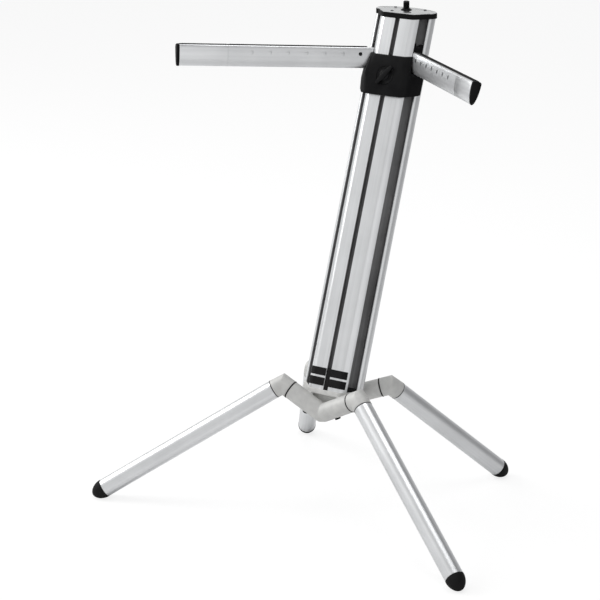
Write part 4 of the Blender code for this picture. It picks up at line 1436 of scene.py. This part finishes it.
@dataclass
class Collar:
    """Sliding saddle with its clamp knob."""

    shop: Workshop
    knob_r: float = 0.0195
    disc_thick: float = 0.004
    boss_r: float = 0.0115
    boss_height: float = 0.0085
    wing_length: float = 0.048
    wing_width: float = 0.011
    wing_span: Point = (0.0053, 0.0105)
    wing_turn: float = math.radians(53)

    def build_body(self) -> None:
        """Saddle with eased edges."""
        finish = BlackPolymer().build("collar_polymer", self.shop.axes.column)
        body = self.shop.refined("collar_body", "collar_moulding", 0.0005, 2)
        levelled(shaded(body, finish, 35.0))
        self.shop.fit(body, "collar", "black_plastic", "collar_body")

    def build_knob(self) -> None:
        """Disc, boss and tapered finger bar in one moulding."""
        axes = self.shop.axes
        hub = frame_of(axes.at("knob_turn"), Vector((1, 0, 0)), axes.axis("knob_turn"))
        if hub.to_3x3().col[2].y > 0:
            hub = hub @ Matrix.Rotation(math.pi, 4, "X")
        high, face, boss, rim = self.boss_height, self.disc_thick, self.boss_r, self.knob_r
        profile = [(0.0, high), (boss - 0.0014, high), (boss - 0.0004, high - 0.0004),
                   (boss, high - 0.0014), (boss, face + 0.0008), (boss + 0.0008, face),
                   (rim - 0.0030, face - 0.0003), (rim - 0.0024, face), (rim - 0.0008, face),
                   (rim, face - 0.0008), (rim, 0.0005), (rim - 0.0005, 0.0), (0.0, 0.0)]
        knob = lathe("finger_knob", profile, hub, 72)
        turned = hub @ Matrix.Rotation(self.wing_turn, 4, "Z")
        half, wide = self.wing_length / 2, self.wing_width / 2
        low, top = self.wing_span
        outline = [(-half, -wide * 0.62), (-half * 0.30, -wide), (half * 0.30, -wide),
                   (half, -wide * 0.62), (half, wide * 0.62), (half * 0.30, wide),
                   (-half * 0.30, wide), (-half, wide * 0.62)]
        wing = prism("wing", [outline], low, top, turned)
        eased(wing, 0.0016, 4, 30.0)
        combined(knob, wing, Operation.JOIN)
        finish = BlackPolymer(roughness=(0.28, 0.40), gloss=0.13)
        self.shop.dress(knob, finish.build("knob_polymer", hub),
                        "knob", "black_plastic", "clamp_knob", angle=40.0)

    def build_fixings(self) -> None:
        """Finishes of the clamp's steel parts, which stay CAD nodes."""
        steel = TurnedSteel().build("clamp_plated", self.shop.axes.column)
        for node in ("clamp_screw", "t_nut", "pivot_pin_left", "pivot_pin_right"):
            self.shop.paint(node, steel)

    def build(self) -> None:
        """Build the whole sub-assembly."""
        self.build_body()
        self.build_knob()
        self.build_fixings()


# Arms


@dataclass
class Arm:
    """Folding sleeve with index holes, sliding bar, rubber strips and end cap."""

    shop: Workshop
    side: Side
    top: float = -0.004
    width: float = 0.019
    height: float = 0.045
    wall: float = 0.0016
    root_g: float = 0.009
    seam_x: float = 0.330
    head_end: float = 0.434
    cap_end: float = 0.440
    hole_first: float = 0.040
    hole_pitch: float = 0.040
    hole_count: int = 7
    hole_r: float = 0.0043
    hole_z: float = -0.0195
    button_r: float = 0.0038
    button_proud_y: float = 0.00835
    bar_start: float = 0.0285
    pad_width: float = 0.012
    pad_proud: float = 0.002
    pad_sunk: float = 0.0007
    pad_start: float = 0.024

    @property
    def arm_body(self) -> str:
        """Body of the folding sleeve."""
        return "arm_" + self.side.label

    @property
    def end_body(self) -> str:
        """Body of the sliding bar."""
        return "arm_end_" + self.side.label

    @staticmethod
    def egg(width: float, height: float, top: float, steps: int = 30) -> Loop:
        """Section with a crowned top and sides drawn in to a round underside.

        Args:
            width: Greatest width.
            height: Height.
            top: Height of its top.
            steps: Facets along each flank.

        Returns:
            The outline in Y and Z.
        """
        split = 0.15 * height
        half = width / 2
        power = 2 / 3.4
        right = []
        for i in range(1, steps):
            a = math.radians(-90 + 90 * i / steps)
            right.append((half * math.cos(a), top - split + (height - split) * math.sin(a)))
        for i in range(12):
            a = math.radians(90 * i / 12)
            right.append((half * math.cos(a) ** power, top - split + split * math.sin(a) ** power))
        return [(0.0, top - height)] + right + [(0.0, top)] + [(-y, z) for y, z in reversed(right)]

    def bar_solid(self, name: str, loops: Sequence[Loop], start: float, stop: float,
                  arm: Matrix) -> bpy.types.Object:
        """Prism that runs along the arm.

        Args:
            name: Name of the solid.
            loops: Sections in Y and Z.
            start: Start along the arm.
            stop: End along the arm.
            arm: The arm's frame.

        Returns:
            The solid.
        """
        turn = Matrix(((0, 0, 1, 0), (1, 0, 0, 0), (0, 1, 0, 0), (0, 0, 0, 1)))
        return prism(name, loops, start, stop, arm @ turn)

    def pad_channel(self, start: float, stop: float, arm: Matrix) -> bpy.types.Object:
        """Tool for the channel that a rubber strip lies in."""
        half = self.pad_width / 2 + GAP
        return block("channel", (start, -half, self.top - self.pad_sunk),
                     (stop, half, self.top + 0.01), arm)

    def build_sleeve(self, arm: Matrix, groove: Matrix, finish: bpy.types.Material) -> None:
        """Hollow teardrop sleeve with its row of index holes."""
        inner = -self.side.value
        wall = self.wall
        loops = [self.egg(self.width, self.height, self.top),
                 self.egg(self.width - 2 * wall, self.height - 2 * wall, self.top - wall)]
        sleeve = self.bar_solid("teardrop_sleeve_" + self.side.label, loops, 0.0, self.seam_x, arm)
        combined(sleeve, block("end", (-0.05, -0.03, -0.12), (self.root_g, 0.03, 0.03), groove))
        combined(sleeve, self.pad_channel(-0.01, self.seam_x + 0.01, arm))
        eased(sleeve, 0.00035, 2, 48.0)
        deep = self.button_proud_y + 0.00025
        way = sorted((inner * 0.004, inner * deep))
        combined(sleeve, block("way", (self.bar_start, way[0], self.hole_z - self.hole_r),
                               (self.seam_x + 0.01, way[1], self.hole_z + self.hole_r), arm))
        for i in range(self.hole_count):
            x = self.hole_first + i * self.hole_pitch
            combined(sleeve, rod("hole", arm @ Vector((x, inner * 0.004, self.hole_z)),
                                 arm @ Vector((x, inner * 0.014, self.hole_z)), self.hole_r, 40))
        levelled(shaded(sleeve, finish, 30.0))
        self.shop.fit(sleeve, self.arm_body, "satin_aluminium", "arm_sleeve_" + self.side.label)

    def build_bar(self, arm: Matrix, finish: bpy.types.Material) -> None:
        """Sliding bar with its full-section head."""
        inner = -self.side.value
        inset = self.wall + GAP
        slim = self.egg(self.width - 2 * inset, self.height - 2 * inset, self.top - inset)
        bar = self.bar_solid("sliding_bar_" + self.side.label, [slim], self.bar_start,
                             self.seam_x + 0.01, arm)
        head = self.bar_solid("head", [self.egg(self.width, self.height, self.top)],
                              self.seam_x + GAP, self.head_end, arm)
        combined(bar, head, Operation.JOIN)
        combined(bar, rod("pocket", arm @ Vector((self.hole_first, -inner * 0.0045, self.hole_z)),
                          arm @ Vector((self.hole_first, inner * 0.02, self.hole_z)),
                          self.button_r + 0.0001, 40))
        combined(bar, self.pad_channel(self.seam_x + GAP - 0.01, self.head_end + 0.01, arm))
        eased(bar, 0.00035, 2, 48.0)
        self.shop.dress(bar, finish, self.end_body, "satin_aluminium",
                        "slide_bar_" + self.side.label, angle=36.0)

    def build_strip(self, which: str, start: float, stop: float, body: str, arm: Matrix,
                    finish: bpy.types.Material) -> None:
        """Rubber strip with cross ribs.

        Args:
            which: Node's name without its side.
            start: Start along the arm.
            stop: End along the arm.
            body: Body that it rides on.
            arm: The arm's frame.
            finish: Its material.
        """
        half = self.pad_width / 2
        low, high = self.top - self.pad_sunk + GAP, self.top + self.pad_proud
        crest = high - 0.0004
        section = [(-half, low), (half, low), (half, crest - 0.0008), (half - 0.0010, crest),
                   (-half + 0.0010, crest), (-half, crest - 0.0008)]
        base = self.bar_solid(which + "_strip_" + self.side.label, [section], start, stop, arm)
        self.shop.dress(base, finish, body, "black_rubber", f"{which}_pad_{self.side.label}")
        pitch = 0.004
        count = int((stop - start - 0.004) / pitch)
        turn = arm.to_3x3().to_4x4()
        reach = half - 0.0012
        rib = block("rib", (-0.0011, -reach, -0.0002), (0.0011, reach, 0.0004), turn)
        ribs = RowOfBodies("rib_row").repeat(rib, count, arm @ Vector((start + 0.004, 0.0, crest)),
                                             arm.to_3x3().col[0] * pitch, finish)
        ribs.name = which + "_ribs_" + self.side.label
        self.shop.fit(ribs, body, "black_rubber")

    def build_cap(self, arm: Matrix) -> None:
        """Moulded end cap with a rounded face."""
        rows = []
        end = self.cap_end
        for x, grow in ((self.head_end + GAP, 0.0), (end - 0.0022, 0.0), (end - 0.0012, -0.0003),
                        (end - 0.0004, -0.0010), (end, -0.0020)):
            loop = self.egg(self.width + 0.0002 + 2 * grow, self.height + 0.0022 + 2 * grow,
                            self.top + self.pad_proud - 0.0006 + grow)
            rows.append([arm @ Vector((x, y, z)) for y, z in loop])
        cap = loft("end_moulding_" + self.side.label, rows)
        self.shop.dress(cap, BlackPolymer().build("end_polymer_" + self.side.label, arm),
                        self.end_body, "black_plastic", "end_cap_" + self.side.label, angle=40.0)

    def build_button(self, arm: Matrix) -> None:
        """Domed detent button."""
        inner = -self.side.value
        start = arm @ Vector((self.hole_first, -inner * 0.0022, self.hole_z))
        stop = arm @ Vector((self.hole_first, inner * self.button_proud_y, self.hole_z))
        place = along(start, stop - start)
        length = (stop - start).length
        r = self.button_r
        profile = [(0.0, 0.0), (r, 0.0), (r, length - 0.0009), (r * 0.86, length - 0.0003),
                   (0.0, length)]
        button = lathe("detent_pin_" + self.side.label, profile, place, 40)
        label = self.side.label
        black = TurnedSteel((0.03, 0.03, 0.031), (0.02, 0.02, 0.021))
        self.shop.dress(button, black.build("pin_blacked_" + label, place),
                        "detent_" + label, "black_plastic", "detent_button_" + label)

    def build(self) -> None:
        """Build the whole arm."""
        axes = self.shop.axes
        arm, groove = axes.arm(self.side), axes.groove(self.side)
        grain = arm @ Matrix.Rotation(math.pi / 2, 4, "Y")
        label = self.side.label
        finish = DrawnAluminium(line_pitch=1200.0).build("arm_anodised_" + label, grain)
        rubber = Rubber().build("strip_rubber_" + label, arm)
        self.build_sleeve(arm, groove, finish)
        self.build_bar(arm, finish)
        for which, start, stop, body in (
                ("sleeve", self.pad_start, self.seam_x - 0.0005, self.arm_body),
                ("head", self.seam_x + 0.0008, self.head_end - GAP, self.end_body)):
            self.build_strip(which, start, stop, body, arm, rubber)
        self.build_cap(arm)
        self.build_button(arm)
        self.shop.paint("arm_root_" + label, BlackPolymer().build("root_polymer_" + label, arm))


# Studio


@dataclass(frozen=True)
class Lamp:
    """Square soft lamp: its place, the edge of its square and its watts."""

    name: str
    place: tuple[float, float, float]
    size: float
    power: float


@dataclass
class Studio:
    """Pale floor, soft lamps, bright surround and the photograph's camera."""

    axes: StandAxes
    position: tuple[float, float, float] = (2.1686, -3.7296, 1.8614)
    pitch: float = math.radians(90.0 - 18.16)
    yaw: float = math.radians(31.34)
    roll: float = math.radians(0.15)
    lens: float = 128.52
    ambient: float = 0.56
    shadow_share: float = 0.30
    floor_half: float = 14.0
    floor_glow: float = 1.14
    dim_side: tuple[float, float, float] = (0.66, 0.28, 0.70)
    lamps: tuple[Lamp, ...] = (Lamp("key", (-3.6, -0.9, 2.6), 2.2, 80.0),
                               Lamp("fill", (2.8, -2.6, 1.6), 2.8, 9.0),
                               Lamp("top", (0.2, 0.4, 3.4), 2.0, 26.0))

    def build_camera(self) -> None:
        """Camera at the photograph's viewpoint."""
        data = bpy.data.cameras.new("camera")
        data.lens = self.lens
        data.sensor_width = 36.0
        data.clip_end = 60.0
        camera = bpy.data.objects.new("camera", data)
        x, y, z = self.position
        camera.location = (x, y + self.axes.shift, z)
        camera.rotation_mode = "XYZ"
        turn = Matrix.Rotation(self.yaw, 4, "Z") @ Matrix.Rotation(self.pitch, 4, "X")
        turn = turn @ Matrix.Rotation(self.roll, 4, "Z")
        camera.rotation_euler = turn.to_euler("XYZ")
        bpy.context.scene.collection.objects.link(camera)
        bpy.context.scene.camera = camera

    def build_floor(self) -> None:
        """White floor that keeps a faint shadow."""
        sheet = Sheet("floor_white")
        tree = sheet.tree
        path = sheet.node("ShaderNodeLightPath")
        glow = sheet.node("ShaderNodeEmission",
                          {"Color": (1.0, 1.0, 1.0, 1.0), "Strength": self.floor_glow})
        seen = {0: path.outputs["Is Camera Ray"], 1: 1.0 - self.shadow_share}
        share = sheet.node("ShaderNodeMath", seen, operation="MULTIPLY")
        sheet.surface(Base_Color=(0.86, 0.86, 0.86, 1.0), Roughness=0.9)
        mix = sheet.node("ShaderNodeMixShader", {0: share.outputs[0], 1: sheet.shader.outputs[0],
                                                 2: glow.outputs[0]})
        tree.links.new(mix.outputs[0], tree.nodes["Material Output"].inputs["Surface"])
        half = self.floor_half
        floor = block("floor", (-half, -half, -0.02), (half, half, -0.0004))
        floor.data.materials.append(sheet.material)

    def build_world(self) -> None:
        """Surround that is white to the camera and softly graded for light and reflections."""
        world = bpy.data.worlds.new("surround")
        bpy.context.scene.world = world
        world.use_nodes = True
        tree = world.node_tree
        back = tree.nodes["Background"]
        place = tree.nodes.new("ShaderNodeTexCoord")
        dot = tree.nodes.new("ShaderNodeVectorMath")
        dot.operation = "DOT_PRODUCT"
        dot.inputs[1].default_value = self.dim_side
        tree.links.new(place.outputs["Generated"], dot.inputs[0])
        ramp = tree.nodes.new("ShaderNodeValToRGB")
        stops = ((0.30, (1.25, 1.25, 1.25)), (0.86, (0.45, 0.45, 0.46)))
        for element, (position, shares) in zip(ramp.color_ramp.elements, stops):
            element.position = position
            element.color = (*(self.ambient * share for share in shares), 1.0)
        tree.links.new(dot.outputs["Value"], ramp.inputs["Fac"])
        path = tree.nodes.new("ShaderNodeLightPath")
        mix = tree.nodes.new("ShaderNodeMix")
        mix.data_type = "RGBA"
        tree.links.new(path.outputs["Is Camera Ray"], mix.inputs[0])
        tree.links.new(ramp.outputs["Color"], mix.inputs[6])
        mix.inputs[7].default_value = (1.0, 1.0, 1.0, 1.0)
        tree.links.new(mix.outputs[2], back.inputs["Color"])

    @staticmethod
    def build_lamp(made: Lamp) -> None:
        """Aim a lamp at the middle of the stand.

        Args:
            made: The lamp's sizes.
        """
        data = bpy.data.lights.new(made.name, "AREA")
        data.shape = "SQUARE"
        data.size = made.size
        data.energy = made.power
        lamp = bpy.data.objects.new(made.name, data)
        lamp.location = made.place
        aim = Vector((0.0, 0.05, 0.5)) - Vector(made.place)
        lamp.rotation_mode = "QUATERNION"
        lamp.rotation_quaternion = aim.to_track_quat("-Z", "Y")
        bpy.context.scene.collection.objects.link(lamp)

    def build(self) -> None:
        """Set the whole stage."""
        self.build_camera()
        self.build_floor()
        self.build_world()
        for lamp in self.lamps:
            self.build_lamp(lamp)
        bpy.context.scene.view_settings.view_transform = "Standard"


def main() -> None:
    """Load the frame, build each sub-assembly and set the stage."""
    logging.basicConfig(level=logging.INFO, format="%(message)s")
    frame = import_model()
    axes = StandAxes({joint["name"]: joint for joint in frame["joints"]})
    shop = Workshop(axes, frame["nodes"])
    column = Column(shop)
    casting = BaseCasting(shop, column)
    steps: list[tuple[str, Callable[[], None]]] = [
        ("column", column.build), ("base casting", casting.build),
        ("fixings", casting.build_fixings), ("collar", Collar(shop).build)]
    for corner in Corner:
        for side in Side:
            steps.append((f"{corner.value} {side.label} leg", Leg(shop, corner, side).build))
    for side in Side:
        steps.append((f"{side.label} arm", Arm(shop, side).build))
    steps.append(("studio", Studio(axes).build))
    for name, build in steps:
        build()
        LOG.info("built %s", name)


if __name__ == "__main__":
    main()
